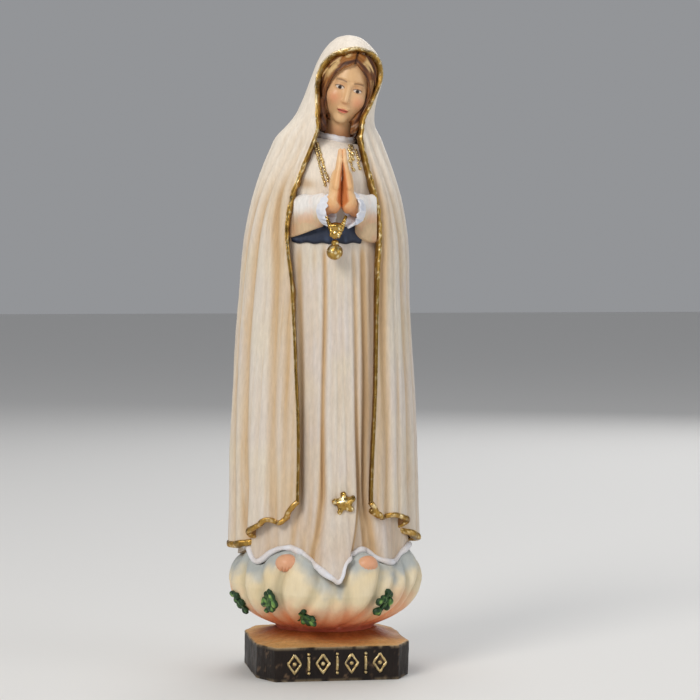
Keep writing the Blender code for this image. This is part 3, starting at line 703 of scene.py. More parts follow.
def mantle_shape(height_steps=150, side_steps=290):
    """(outside, inside, stain, the row where the hood closes), from the left edge round the back."""
    heights = np.linspace(OPENING_HEM, BRIM_TOP, 600)
    edge = between(OPENING, heights)
    walk = np.concatenate([[0], np.cumsum(np.hypot(np.diff(edge[:, 0]), np.diff(heights)))])
    below = np.interp(np.linspace(0, walk[-1], height_steps - 14), walk, heights)
    above = TOP - (TOP - BRIM_TOP) * (1 - np.linspace(0, 1, 15)[1:]) ** 1.6
    front = np.concatenate([below, above])
    share = (front - OPENING_HEM) / (TOP - OPENING_HEM)
    closed_row = len(below) - 1
    found = between(MANTLE, front)
    edges = between(OPENING, np.minimum(front, BRIM_TOP))
    left = np.degrees(np.arcsin(np.clip((edges[:, 0] - found[:, 0]) / found[:, 2], -1, 1)))
    right = np.degrees(np.arcsin(np.clip((edges[:, 1] - found[:, 0]) / found[:, 2], -1, 1)))
    brim = (left[closed_row] + right[closed_row]) / 2
    left[closed_row:], right[closed_row:] = brim, brim
    spread = np.linspace(0, 1, side_steps)
    spread = spread - 0.55 * np.sin(4 * math.pi * spread) / (4 * math.pi)
    angle = left[:, None] + (right - 360 - left)[:, None] * spread[None]
    height = curve(MANTLE_HEM, wrapped(angle))
    height = height + share[:, None] * (TOP - height)
    swing, out, stain = mantle_folds(angle, height)
    quiet = ramp(0, 0.02, spread)[None] * ramp(0, 0.02, 1 - spread)[None]
    out = out * (0.35 + 0.65 * quiet)
    outside = on_oval(MANTLE, angle + swing, height, out)
    half_width = between(MANTLE, height)[..., 2]
    wall = np.minimum(MANTLE_WALL * (1 - 0.3 * ramp(100, 110, height)), 0.6 * half_width)
    inside = outside - grid_normals(outside) * wall[..., None]
    inside[..., 2] = np.minimum(inside[..., 2], TOP - 0.8)
    inside[closed_row:, -1] = inside[closed_row:, 0]
    return outside, inside, stain, closed_row


def make_mantle():
    outside, inside, stain, closed_row = mantle_shape()
    rows, columns = stain.shape
    index = np.arange(rows * columns).reshape(rows, columns)
    index[closed_row:, -1] = index[closed_row:, 0]
    inner = index + rows * columns
    crowns = outside[-1:].mean(1), inside[-1:].mean(1)
    points = np.concatenate([outside.reshape(-1, 3), inside.reshape(-1, 3), *crowns])
    faces = ring_faces(index, closed=False)
    faces += [face[::-1] for face in ring_faces(inner, closed=False)]
    index, inner = index.tolist(), inner.tolist()
    for r in range(closed_row):
        faces.append([index[r + 1][0], inner[r + 1][0], inner[r][0], index[r][0]])
        faces.append([index[r][-1], inner[r][-1], inner[r + 1][-1], index[r + 1][-1]])
    for c in range(columns - 1):
        faces.append([index[0][c], inner[0][c], inner[0][c + 1], index[0][c + 1]])
        faces.append([index[-1][c], index[-1][c + 1], len(points) - 2])
        faces.append([inner[-1][c + 1], inner[-1][c], len(points) - 1])
    faces = [list(dict.fromkeys(face)) for face in faces]
    faces = [face for face in faces if len(face) > 2]
    # the right edge's points above the opening went unused, so the rest are numbered anew
    used = np.unique(np.concatenate(faces))
    renumber = dict(zip(used.tolist(), range(len(used))))
    faces = [[renumber[i] for i in face] for face in faces]
    points = points[used]

    stain = np.concatenate([stain.ravel(), stain.ravel(), [0, 0]])[used]
    z = points[:, 2]
    streaks = grain(points, 3)
    base = coated(
        CREAM,
        (LAVENDER, 0.5 + 0.9 * (noise(points, 5.0, 7) - 0.5)),
        # painted light: the mantle grows lighter towards the shoulders and hood
        (PAINTED_LIGHT_CREAM, 0.75 * ramp(78, 96, z)),
    )
    paint = coated(
        base,
        (PEACH, stain * 1.08 * (1 - 0.4 * ramp(84, 96, z)) + 0.12 * streaks),
        (TAN, ramp(0.8, 1.6, stain) * 0.5),
        (PEACH, 0.25 * fall(24, 60, z) * noise(points, 4.0, 9)),
    )
    lining = np.concatenate([np.zeros(rows * columns), np.ones(rows * columns), [0, 1]])[used]
    paint = coated(paint, (OCHRE, lining * 0.85))
    add_piece("mantle", points, faces, paint, "cream_paint")
    return outside, inside, closed_row


def gold_colour(points, seed):
    # painted glints: scattered near-white spots on the gilt; the dark specks are wear
    glint_spots = noise(points, 0.45, seed)
    worn = noise(points, 1.6, seed + 1)
    return coated(GOLD, (GOLD_PAINTED_GLINT, ramp(0.6, 0.8, glint_spots)), (GOLD_WORN, ramp(0.5, 0.85, worn) * 0.8))


def even_path(path, step):
    """The same path with its points a step apart."""
    path = np.asarray(path, float)
    return along_path(path, path, step)


def swept(path, outward, profile, lump, lump_size, seed, swell):
    """A solid along a path; its profile is (towards the left of the way, outward) pairs."""
    way, outward = square_to(np.gradient(path, axis=0), outward)
    shape = np.array(profile)
    offsets = np.cross(outward, way)[:, None] * shape[None, :, :1] + outward[:, None] * shape[None, :, 1:]
    rings = path[:, None] + offsets * swell[:, None, None]
    bumps = (noise(rings, lump_size, seed) - 0.45) * lump
    proud = np.maximum(shape[:, 1], 0) > 0.05
    return capped_loft(rings + outward[:, None] * (bumps * proud)[..., None])


# Cross-section of the gilt border: (towards the opening, outward), with a groove between its two lines
BORDER = [
    (-0.44, -0.12), (-0.42, 0.08), (-0.35, 0.15), (-0.27, 0.13), (-0.21, 0.05), (-0.14, 0.07),
    (-0.05, 0.17), (0.05, 0.15), (0.11, 0.05), (0.13, -0.2), (0.12, -0.5), (0.06, -0.8), (-0.15, -0.85),
    (-0.3, -0.4),
]
HEM_ROLL = [
    (-0.75, -0.15), (-0.72, 0.12), (-0.5, 0.26), (-0.2, 0.3), (0.1, 0.26), (0.34, 0.1), (0.42, -0.15),
    (0.4, -0.6), (0.25, -1.0), (-0.1, -1.15), (-0.4, -0.8),
]


def along_path(values, path, step):
    """Rows of values resampled evenly along the path."""
    walk = np.concatenate([[0], np.cumsum(np.linalg.norm(np.diff(path, axis=0), axis=1))])
    at = np.linspace(0, walk[-1], max(3, int(walk[-1] / step)))
    return np.stack([np.interp(at, walk, values[:, i]) for i in range(values.shape[1])], axis=-1)


def border_colour(points, around, seed):
    """Gilt with a dark groove between its two lines, dull low down, pale on the hood and brown behind."""
    paint = gold_colour(points, seed)
    place = np.concatenate([np.tile(np.arange(around), (len(points) - 2) // around), [0, 0]])
    hood = ramp(104, 109, points[:, 2])
    return coated(
        paint,
        (GOLD_DULL, 0.65 * fall(68, 80, points[:, 2])),
        (GOLD_DARK, 0.7 * bell(place - 4.5, 1.1) * (1 - 0.6 * hood)),
        (GOLD_PALE, 0.85 * hood * bell(place - 2.0, 2.8)),
        (GOLD_BROWN, 0.6 * (place > 8)),
    )


def make_edging(outside, inside, closed_row):
    """The gilt border up the left edge, over the brim and down the right, and the gilt roll of the hem."""
    normals = outside - inside
    path = np.concatenate([outside[: closed_row + 1, 0], outside[:closed_row, -1][::-1]])
    facing = np.concatenate([normals[: closed_row + 1, 0], normals[:closed_row, -1][::-1]])
    facing[:, 2] *= ramp(110, 115, path[:, 2])
    path, facing = along_path(path, path, 0.3), along_path(facing, path, 0.3)
    path = path + 0.14 * facing * ramp(108, 114, path[:, 2])[:, None]
    lump = 0.08 + 0.3 * ramp(72, 92, path[:, 2]) * fall(103, 107, path[:, 2])
    profile = [(-x, y) for x, y in BORDER]
    swell = 1 + 0.35 * bell(path[:, 2] - 89, 11) + 0.4 * ramp(109, 115, path[:, 2])
    points, faces = swept(path, facing, profile, lump[:, None], 0.5, seed=21, swell=swell)
    paint = border_colour(points, len(BORDER), 23)
    add_piece("mantle_edging", points, faces, paint, "gilding")
    row, facing = outside[0], normals[0]
    path, facing = along_path(row, row, 0.3), along_path(facing, row, 0.3)
    turn = np.degrees(np.arctan2(path[:, 0], -path[:, 1]))
    swell = 0.82 + 0.3 * ramp(55, 72, np.abs(turn)) * (0.4 + 0.9 * noise(path, 3.0, 22))
    roll = swept(path, facing, HEM_ROLL, 0.3, 0.9, seed=25, swell=swell)
    flap, flap_faces = polygonised(flap_field, (5.6, -16.0, 28.6), (9.6, -11.0, 33.0), 0.14)
    points, faces = joined([roll, (flap, flap_faces)])
    paint = coated(gold_colour(points, 27), (GOLD_WARM, 0.6 * noise(points, 2.0, 28)))
    add_piece("mantle_hem_edging", points, faces, paint, "gilding")


def flap_field(p):
    """The mantle's corner at the foot of the opening's right edge, turned over."""
    field = to_bar(p, (6.9, -13.3, 31.3), (8.2, -13.0, 30.5), 0.62, 0.72)
    return field + 0.2 * (noise(p, 0.9, 29) - 0.5)


# ---------------------------------------------------------------- gown


def gown_point(angle, height):
    """(points, stain and painted shade) of the gown's outside."""
    angle = wrapped(angle)
    found = between(GOWN, height)
    x = found[..., 0] + found[..., 2] * np.sin(np.radians(angle))
    front = np.cos(np.radians(angle)) > 0
    skirt = fall(78, 82, height)
    out, stain = np.zeros_like(x), np.zeros_like(x)
    for low, high, width, depth, dye in GOWN_VALLEYS:
        at = low + (high - low) * (height - 34) / 46 + 0.18 * np.sin(height / 7.0 + low)
        at = at + (low * 0.35 - 0.2) * fall(19, 36, height)
        near = bell(x - at, width * (1 + 0.5 * fall(22, 40, height))) * front * skirt
        fainter = 0.6 + 0.4 * fall(60, 80, height) + 0.5 * fall(30, 50, height)
        out -= depth * near * fainter
        stain += dye * near
    fine = np.sin(x * 4.2 + 0.5 * np.sin(height / 6.0))
    out += 0.05 * fine * skirt * front
    stain += 0.1 * (1 - fine) * skirt * front
    # the long fold that swings to the left and drops over the cloud
    fold = between(FRONT_FOLD, height)
    start, end, proud = np.moveaxis(fold, -1, 0)
    near = ramp(start - 0.5, start + 0.8, x) * fall(end - 0.35, end + 0.3, x) * front
    out += proud * near * (1 + 0.12 * (x - start) / 5)
    stain *= 1 - 0.6 * near * fall(30, 36, height)
    low = fall(34, 56, height)
    stain += (1.1 * bell(x - end - 0.3, 0.4) + bell(x - start + 0.5, 0.45)) * front * low
    # the skirt spreads and waves above the hem
    wave = np.sin(np.radians(angle) * 11 + 0.8) * fall(20, 34, height)
    out += 0.45 * wave * (1 - near)
    stain += 0.25 * (1 - wave) * fall(22, 36, height) * (1 - near)
    # painted shade on the gown beside the mantle's opening edges, which stand in front of it
    edge = between(OPENING, np.clip(height, OPENING_HEM, 100))
    beside = 0.6 * bell(x - edge[..., 0] - 0.6, 1.6) + 0.45 * bell(x - edge[..., 1] + 1.4, 2.2)
    stain += beside * front * (0.35 + 0.65 * ramp(30, 38, height)) * (1 - 0.6 * ramp(78, 84, height))
    # painted shade under the arms; the neckline slopes across
    under_arm_shade = bell(height - 91.2 - 0.15 * np.abs(x - 1), 1.1) * ramp(2.2, 3.6, np.abs(x - 1))
    stain += (0.7 + 0.5 * np.sin(x * 0.9)) * under_arm_shade * front
    turn = np.radians(angle)
    y = found[..., 1] - (found[..., 3] + out) * np.cos(turn)
    x = found[..., 0] + (found[..., 2] + out) * np.sin(turn)
    tilted = height - 0.17 * (x - 1.4) * ramp(95, 99.5, height)
    return np.stack([x, y, np.broadcast_to(tilted, x.shape)], axis=-1), stain


def gown_hem_height(angle):
    return curve(GOWN_HEM, wrapped(angle))


def make_gown():
    spread = np.linspace(-1, 1, 340, endpoint=False)
    angle = 180 * (0.45 * spread + 0.55 * spread**3)
    foot = gown_hem_height(angle)
    share = np.linspace(0, 1, 170) ** 1.08
    heights = foot[None] + share[:, None] * (GOWN_TOP - foot[None])
    rings, stain = gown_point(np.broadcast_to(angle, heights.shape), heights)
    under = on_oval([(0, 0, 0, 13.8, 12.0), (1, 0, 0, 13.8, 12.0)], angle, np.zeros_like(angle))
    under[:, 2] = 17.0
    lip = rings[0] * np.array([0.955, 0.955, 1.0]) + np.array([0, 0, 0.3])
    rings = np.concatenate([under[None], lip[None], rings])
    stain = np.concatenate([np.ones((2, len(angle))), stain])
    points, faces = capped_loft(rings)
    stain = np.concatenate([stain.ravel(), [0, 0]])
    streaks = grain(points, 13)
    base = coated(CREAM, (LAVENDER, 0.65 + 0.9 * (noise(points, 4.0, 17) - 0.5)))
    # stain carries the folds' stain and the painted shade beside the mantle's edges and under the arms
    paint = coated(base, (PEACH, stain * 0.9 + 0.18 * streaks), (TAN, ramp(0.8, 1.7, stain) * 0.55))
    low = fall(22, 42, points[:, 2])
    paint = coated(
        paint,
        (TAN, 0.4 * low * cloudy(points * np.array([1, 1, 0.4]), 2.4, 19)),
        # painted highlight on the chest, less where the folds are stained
        (PAINTED_LIGHT_CREAM, 0.9 * ramp(85, 91, points[:, 2]) * (1 - 0.8 * np.clip(stain, 0, 1))),
    )
    add_piece("gown", points, faces, paint, "gown_paint")

    span = np.linspace(-78, 74, 420)
    path, _ = gown_point(span, gown_hem_height(span) + 0.35)
    path = even_path(path * np.array([1.008, 1.008, 1.0]), 0.35)
    thick = 0.55 + 0.08 * np.sin(np.arange(len(path)) * 0.31)
    thick = thick * (1 - 0.5 * bell(path[:, 0] - 1.4, 1.1) * (path[:, 2] > 19.0))
    points, faces = tube(path, thick, 10, lump=0.2, lump_size=1.1, seed=31)
    paint = coated(WHITE, (LAVENDER, noise(points, 1.2, 33)))
    add_piece("gown_hem_band", points, faces, paint, "white_paint")


# ---------------------------------------------------------------- cloud, leaves, feet and plinth


def cloud_point(angle, share_row):
    """(points, groove) of the cloud's outside.

    share_row is 0 at the foot, 0.6 at the widest and 1 inside the gown.
    """
    table = [(0.6 * i / (len(CLOUD) - 1), *row) for i, row in enumerate(CLOUD)]
    bank = [(0.6 + 0.4 * i / (len(CLOUD_BANK) - 1), *row) for i, row in enumerate(CLOUD_BANK)]
    found, rise = between(table, share_row), between(bank, share_row)
    above = share_row > 0.6
    share = np.where(above, rise[..., 0], found[..., 0])
    facing = np.maximum(0, np.cos(np.radians(angle))) ** 2
    height = found[..., 1] + (found[..., 2] - found[..., 1]) * facing
    front = ramp(0.1, 0.4, np.cos(np.radians(angle)))
    top = CLOUD_SIDE_TOP + (gown_hem_height(angle) - 0.1 - CLOUD_SIDE_TOP) * front
    height = height + np.where(above, rise[..., 1], 0) * (top - height)
    groove = np.zeros_like(height)
    for at, slant, depth in CLOUD_GROOVES:
        bend = 3.0 * np.sin((height - 9) / 3.0 + at)
        near = bell(wrapped(angle - at - slant * (height - 14) - bend), 3.9)
        groove += depth * near
    body = ramp(0.05, 0.25, share_row) * (1 - 0.5 * ramp(0.7, 0.9, share_row))
    ways = np.stack([angle / 9.0, share_row * 6, 0 * angle], axis=-1)
    swell = 0.5 * (noise(ways, 1.7, 41) - 0.5)
    out = (0.5 - 1.25 * groove + swell) * body
    turn = np.radians(angle)
    x = (CLOUD_HALF[0] * share + out) * np.sin(turn)
    y = -(CLOUD_HALF[1] * share + out) * np.cos(turn)
    return np.stack([x, y, height], axis=-1), groove * body


def cloud_place(angle, height):
    """The point and the outward direction of the cloud's side at this height."""
    shares = np.linspace(0.05, 0.7, 200)
    side, _ = cloud_point(np.full(200, float(angle)), shares)
    at = shares[np.argmin(np.abs(side[:, 2] - height))]
    here, _ = cloud_point(angle + np.array([0, 2.0, 0, -2.0]), at + np.array([0, 0, 0.03, 0]))
    return here[0], unit(np.cross(here[1] - here[3], here[2] - here[0]))


def make_cloud():
    angle = np.linspace(-180, 180, 400, endpoint=False)
    share = np.linspace(0, 1, 96)
    rings, groove = cloud_point(*np.broadcast_arrays(angle[None], share[:, None]))
    points, faces = capped_loft(rings)
    groove = np.concatenate([groove.ravel(), [0, 0]])
    z = points[:, 2]
    turn = np.degrees(np.arctan2(points[:, 0], -points[:, 1]))
    front = ramp(0.1, 0.4, np.cos(np.radians(turn)))
    rough = cloudy(points, 3.4, 43) - 0.5
    paint = coated(CLOUD_CREAM, (CLOUD_WHITE, cloudy(points, 3.0, 45)))
    low = fall(9.3, 15.5, z + 4.0 * rough)
    paint = coated(
        paint,
        (CLOUD_SALMON, low * 0.9),
        (CLOUD_ROSE, fall(9.0, 11.6, z + 2.0 * rough) * 0.45),
        (CLOUD_SALMON, 0.55 * ramp(0.35, 0.8, groove) * fall(11, 16, z)),
        (CLOUD_MOSS, 0.6 * ramp(0.25, 0.85, groove) * ramp(12, 15, z)),
    )
    blotch = ramp(0.5, 0.8, cloudy(points, 5.0, 47)) * fall(14, 18.5, z)
    blotch = blotch * (0.4 + 0.6 * ramp(8, 15, np.abs(points[:, 0])))
    paint = coated(paint, (CLOUD_PEACH, 0.8 * blotch))
    # painted shade: grey-blue on the cloud just under the gown's hem, where they meet
    meeting = CLOUD_SIDE_TOP + (gown_hem_height(turn) - CLOUD_SIDE_TOP) * front
    paint = coated(paint, (CLOUD_SHADE_GREY, ramp(-4.4, -0.6, z - meeting + 6.0 * rough) * 0.8))
    ring = fall(8.5, 9.5, z)
    paint = coated(paint, (CLOUD_RUST, ring * 0.9))
    add_piece("cloud", points, faces, paint, "cloud_paint")


def make_leaves():
    """Each cluster is a spray of rounded lobes that hugs the cloud."""
    for number, (angle, height, tilt) in enumerate(LEAVES, 1):
        centre, normal = cloud_place(angle, height)
        facing = Vector(normal).to_track_quat("Z", "Y").to_matrix()
        turn = facing @ Matrix.Rotation(math.radians(tilt - 90), 3, "Z")
        lobes = [(0.1, 2.0, 0.62), (0, -1.9, 0.5)]
        for row, (wide, along, size) in enumerate(LEAF_LOBES):
            for side in (-1, 1):
                uneven = 0.2 * math.sin(3.1 * row + 2.3 * side + 1.7 * number)
                lobes.append((side * (wide + uneven), along + 0.4 * side + uneven, size - 0.4 * uneven))

        def leaf_field(p, lobes=lobes):
            p = p - np.array([0.35, 0, 0]) * np.cos(p[..., 1:2] * 0.9)
            field = to_egg(p, (0, 0, 0.0), (0.5, 2.1, 0.5))
            for x, y, r in lobes:
                field = merged(field, to_ball(p * np.array([1, 1, 1.25]), (x, y, 0.1), r), 0.16)
            vein = bell(p[..., 0], 0.14) * 0.16
            return field + vein + 0.2 * (noise(p, 0.5, 51 + number) - 0.5)

        points, faces = polygonised(leaf_field, (-2.9, -3.2, -1.1), (2.9, 3.0, 1.3), 0.12)
        lump = noise(points, 0.55, 53 + number)
        paint = coated(
            LEAF_DARK,
            (LEAF_LIGHT, ramp(0.2, 0.6, points[:, 2]) * ramp(0.35, 0.7, lump)),
            (LEAF_TIP, ramp(0.62, 0.85, lump) * ramp(0.35, 0.6, points[:, 2]) * 0.75),
        )
        placed = 1.12 * points @ np.array(turn).T + centre + normal * 0.1
        name = f"leaf_{number}"
        add_piece(name, placed, faces, paint, "leaf_paint")


def make_feet():
    """The front of each foot shows under the hem, with shallow gaps between the toes."""
    for name, x, side in (("right_foot", -8.9, -1), ("left_foot", 5.6, 1)):
        middle = np.array([x, -13.55 - 0.75 * side, 21.25 - 0.15 * side])

        def foot_field(p):
            field = to_egg(p, (0, 0.5, 0.3), (2.25, 2.1, 1.75))
            gaps = sum(bell(p[..., 0] - side * gap, 0.13) for gap in (-0.75, -0.1, 0.5, 1.05))
            return field + 0.22 * gaps * fall(-0.7, 0.5, p[..., 2])

        points, faces = polygonised(foot_field, (-2.8, -2.6, -2.0), (2.8, 3.2, 2.6), 0.12)
        shade = 0.3 * cloudy(points, 1.4, 61) + 0.35 * fall(-1.4, 0.2, points[:, 2])
        paint = coated(FEET, (BLUSH, shade))
        add_piece(name, points + middle, faces, paint, "skin_paint")


def plinth_outline(count):
    """The eight-sided outline, evenly walked, with slightly softened corners."""
    half_x, half_y = PLINTH_HALF
    cut_x, cut_y = PLINTH_CORNER
    quarter = [(half_x, half_y - cut_y), (half_x - cut_x, half_y)]
    side = [(x, -y) for x, y in reversed(quarter)] + quarter
    corners = np.array(side + [(-x, y) for x, y in reversed(side)])
    closed = np.concatenate([corners, corners[:1]])
    walk = np.concatenate([[0], np.cumsum(np.hypot(*np.diff(closed, axis=0).T))])
    at = np.linspace(0, walk[-1], count, endpoint=False)
    outline = np.stack([np.interp(at, walk, closed[:, i]) for i in range(2)], axis=-1)
    for _ in range(2):
        outline = 0.5 * outline + 0.25 * (np.roll(outline, 1, axis=0) + np.roll(outline, -1, axis=0))
    return outline


def make_plinth():
    outline = plinth_outline(420)
    turn = np.arctan2(outline[:, 0] / FOOT_RING[0], -outline[:, 1] / FOOT_RING[1])
    ring = np.stack([FOOT_RING[0] * np.sin(turn), -FOOT_RING[1] * np.cos(turn)], axis=-1)
    rings, kinds = [], []
    upright = [(0.3 + 5.8 * i / 16, 0.0) for i in range(17)]
    levels = [(0.0, 0.25), (0.08, 0.08), *upright, (6.3, 0.06), (6.4, 0.22)]
    for height, inset in levels:
        scale = 1 - inset / np.linalg.norm(outline, axis=1, keepdims=True)
        rings.append(np.column_stack([outline * scale, np.full(len(outline), height)]))
        kinds.append(0.0 if height < 6.35 else 0.6)
    rim = outline * (1 - 0.22 / np.linalg.norm(outline, axis=1, keepdims=True))
    for i in range(1, 27):
        share = i / 26
        flat = rim * (1 - share) + ring * share
        height = PLINTH_EDGE_HEIGHT + (PLINTH_TOP - PLINTH_EDGE_HEIGHT) * (0.35 * share + 0.65 * share**2.2)
        rings.append(np.column_stack([flat, np.full(len(outline), height)]))
        kinds.append(1.0)
    rings = np.array(rings)
    facet = noise(rings * np.array([1.0, 1.0, 0.8]), 4.2, 71) - 0.5
    chip = noise(rings, 1.1, 73) - 0.5
    lively = (rings[..., 2] > 0.2)[..., None] * LEVEL
    outwards = rings / np.linalg.norm(rings[..., :2], axis=-1, keepdims=True)
    rings = rings + outwards * lively * (0.5 * facet + 0.12 * chip)[..., None]
    kinds = np.repeat(np.array(kinds)[:, None], len(outline), axis=1)
    rings[..., 2] += kinds * (0.25 * facet + 0.06 * chip)
    points, faces = capped_loft(rings)
    kinds = np.concatenate([kinds.ravel(), [0, 1]])
    z = points[:, 2]
    reach = np.linalg.norm(points[:, :2], axis=1)
    fibre = noise(points * np.array([0.25, 2.0, 2.0]), 0.9, 75)
    dark = coated(
        PLINTH_DARK,
        (PLINTH_BLACK, cloudy(points, 5.0, 76)),
        (PLINTH_WORN, ramp(0.66, 0.8, cloudy(points, 1.0, 77)) * 0.5),
    )
    rub = bell(z - 6.3, 0.22) + bell(z - 0.1, 0.2) * 0.8 + 0.5 * (kinds == 0.6)
    dark = coated(dark, (PLINTH_RUBBED, rub * ramp(0.3, 0.55, cloudy(points, 1.3, 79)) * 0.85))
    tan = coated(PLINTH_TAN, (PLINTH_PALE, fibre))
    near_foot = fall(9.8, 15.6, reach + 2.4 * (cloudy(points, 3.0, 81) - 0.5))
    tan = coated(tan, (PLINTH_RUST, near_foot * 0.9))
    paint = coated(dark, (tan, ramp(0.35, 0.8, kinds + 0.25 * (noise(points, 0.9, 83) - 0.5))))
    add_piece("plinth", points, faces, paint, "stained_wood")


def make_ornament():
    """A row of gilt lozenges and dots on the plinth's front, in low relief."""
    solids = []
    front, height, pitch = -PLINTH_HALF[1], 3.3, 3.1
    for i in range(-3, 4):
        x = i * pitch * 0.86
        if i % 2:
            diamond = [(0, 1.75), (-1.2, 0), (0, -1.75), (1.2, 0), (0, 1.75)]
            path = [(x + across, front - 0.02, height + up) for across, up in diamond]
            solids.append(tube(even_path(path, 0.18), 0.24, 8, lump=0.16, lump_size=0.5, seed=91 + i))
            solids.append(bead((x, front - 0.02, height), 0.42))
        else:
            path = [(x, front - 0.02, height + 1.3), (x, front - 0.02, height - 1.3)]
            solids.append(tube(even_path(path, 0.18), 0.26, 8, lump=0.16, lump_size=0.5, seed=99 + i))
            for z in (height + 1.75, height - 1.75):
                solids.append(bead((x, front - 0.02, z), 0.33))
    points, faces = joined(solids)
    paint = coated(gold_colour(points, 95), (GOLD_CREAM, 0.45))
    add_piece("plinth_ornament", points, faces, paint, "gilding")


# ---------------------------------------------------------------- head and hair


def head_matrix():
    turns = ((HEAD_LEAN, "Y"), (HEAD_BOW, "X"), (HEAD_TURN, "Z"))
    lean, bow, turn = (Matrix.Rotation(math.radians(degrees), 3, axis) for degrees, axis in turns)
    return np.array(lean @ bow @ turn)


def to_head(points):
    """World points in the head's own axes: the face looks along -y and z runs to the crown."""
    return (np.asarray(points, float) - np.array(HEAD_CENTRE)) @ head_matrix()


def from_head(points):
    return points @ head_matrix().T + np.array(HEAD_CENTRE)


def skull_field(p):
    """A calm, even face: the eyes halfway up the head, the nose's tip halfway from them to the chin."""
    field = to_egg(p, (0, 0.9, 1.5), (4.4, 5.0, 5.5))
    field = merged(field, to_egg(p, (0, -1.1, -1.8), (3.95, 3.9, 5.1)), 1.4)
    field = merged(field, to_egg(p, (0, -3.5, -5.9), (1.25, 0.95, 0.95)), 0.9)
    for side in (-1, 1):
        field = merged(field, to_ball(p, (side * 2.05, -3.3, -2.1), 1.25), 1.3)
        field = cut(field, to_egg(p, (side * 1.7, -5.75, 0.1), (1.25, 1.15, 0.85)), 0.7)
        field = merged(field, to_ball(p, (side * 1.7, -3.72, -0.05), 0.98), 0.25)
        brow = to_bar(p, (side * 0.7, -4.75, 1.15), (side * 2.5, -4.15, 1.15), 0.28, 0.2)
        field = merged(field, brow, 0.6)
    bridge = to_bar(p, (0, -4.55, 0.8), (0, -5.55, -2.2), 0.36, 0.5)
    field = merged(field, bridge, 0.55)
    for side in (-1, 1):
        field = merged(field, to_ball(p, (side * 0.5, -5.1, -2.4), 0.34), 0.3)
    field = merged(field, to_egg(p, (0, -4.72, -3.95), (1.15, 0.5, 0.3)), 0.25)
    field = merged(field, to_egg(p, (0, -4.62, -4.5), (0.85, 0.52, 0.32)), 0.25)
    field = cut(field, to_egg(p, (0, -5.3, -4.23), (1.2, 0.42, 0.05)), 0.12)
    return field


def head_field(p):
    low, high = to_head(NECK_FOOT), to_head(NECK_HEAD)
    return merged(skull_field(p), to_bar(p, low, high, 2.75, 2.5), 1.0)


def make_head():
    low_end = to_head(NECK_FOOT)
    points, faces = polygonised(head_field, (-5.2, -6.6, low_end[2] - 3.0), (6.2, 6.6, 7.6), 0.14)
    x, y, z = points.T
    front = ramp(1.0, 3.0, -y)
    paint = np.broadcast_to(SKIN, points.shape)
    paint = coated(paint, (SKIN_LIGHT, noise(points, 2.2, 101) * 0.8))
    for side in (-1, 1):
        cheek = bell(np.hypot(x - side * 2.35, z + 2.2), 1.35)
        paint = coated(paint, (BLUSH, 0.55 * cheek * front))
        socket = bell(np.hypot((x - side * 1.7) / 1.4, z - 0.35), 0.75)
        paint = coated(paint, (SKIN_SHADE, 0.5 * socket * front))
    paint = coated(
        paint,
        (SKIN_WARM, 0.5 * bell(np.hypot(x, z + 2.75), 0.5) * front),
        (SKIN_SHADE, 0.6 * fall(-8.6, -6.6, z)),
    )
    lips = np.hypot(x / 1.12, (z + 4.22) / 0.42)
    paint = coated(paint, (LIPS, fall(0.8, 1.1, lips) * 0.85 * front))
    mouth = bell(z + 4.22 - 0.05 * np.abs(x), 0.09) * fall(0.85, 1.15, np.abs(x))
    paint = coated(paint, (MOUTH, mouth * 0.85 * front))
    for side in (-1, 1):
        across = x - side * 1.7
        white = np.hypot(across / 0.78, (z + 0.05) / 0.36)
        paint = coated(paint, (EYE_WHITE, fall(0.85, 1.05, white) * 0.9 * front))
        iris = np.hypot(across, z + 0.1)
        paint = coated(paint, (EYE_DARK, fall(0.3, 0.4, iris) * (z < 0.32) * front))
        lid = 0.3 - 0.38 * across**2
        line = bell(z - lid, 0.1) * fall(0.8, 1.0, np.abs(across))
        paint = coated(paint, (UPPER_LID, line * front))
        lower = bell(z + 0.4 - 0.22 * across**2, 0.07) * fall(0.5, 0.8, np.abs(across))
        paint = coated(paint, (LOWER_LID, 0.5 * lower * front))
        arch = 1.32 - 0.14 * (np.abs(x) - 1.6) ** 2
        brow = bell(z - arch, 0.14) * ramp(0.55, 0.8, side * x) * fall(2.5, 2.8, side * x)
        paint = coated(paint, (BROW, 0.85 * brow * front))
    add_piece("head", from_head(points), faces, paint, "skin_paint")


def face_window(p):
    """Negative inside the opening that the hair leaves for the face; the strands run along its contours."""
    x, z = p[..., 0], p[..., 2]
    wide = 3.6 + 0.25 * ramp(-4, 1, z)
    peak = 0.5 * bell(x, 0.8) * ramp(1.0, 4.0, z)
    return (np.hypot(x / wide, (z + 1.35 - peak) / 5.5) - 1.0) * 3.6


def hair_waves(p):
    """How far the surface stands out along the strands."""
    window = face_window(p)
    wavy = window + 0.16 * np.sin(1.3 * p[..., 2] + 1.1 * p[..., 0]) + 0.3 * noise(p, 2.4, 109)
    return 0.07 * np.cos(wavy * 7.0) + 0.07 * np.cos(wavy * 17.0 + 2.0 * np.sin(p[..., 2] * 0.9))


def strands(p):
    """Noise drawn out along the strands, from 0 to 1."""
    way = np.arctan2(p[..., 0], p[..., 2] + 1.4)
    laid = np.stack([face_window(p) + 0.3 * noise(p, 2.4, 109), way * 0.55, 0 * way], axis=-1)
    return (noise(laid, 0.2, 111) + noise(laid, 0.42, 112)) / 2


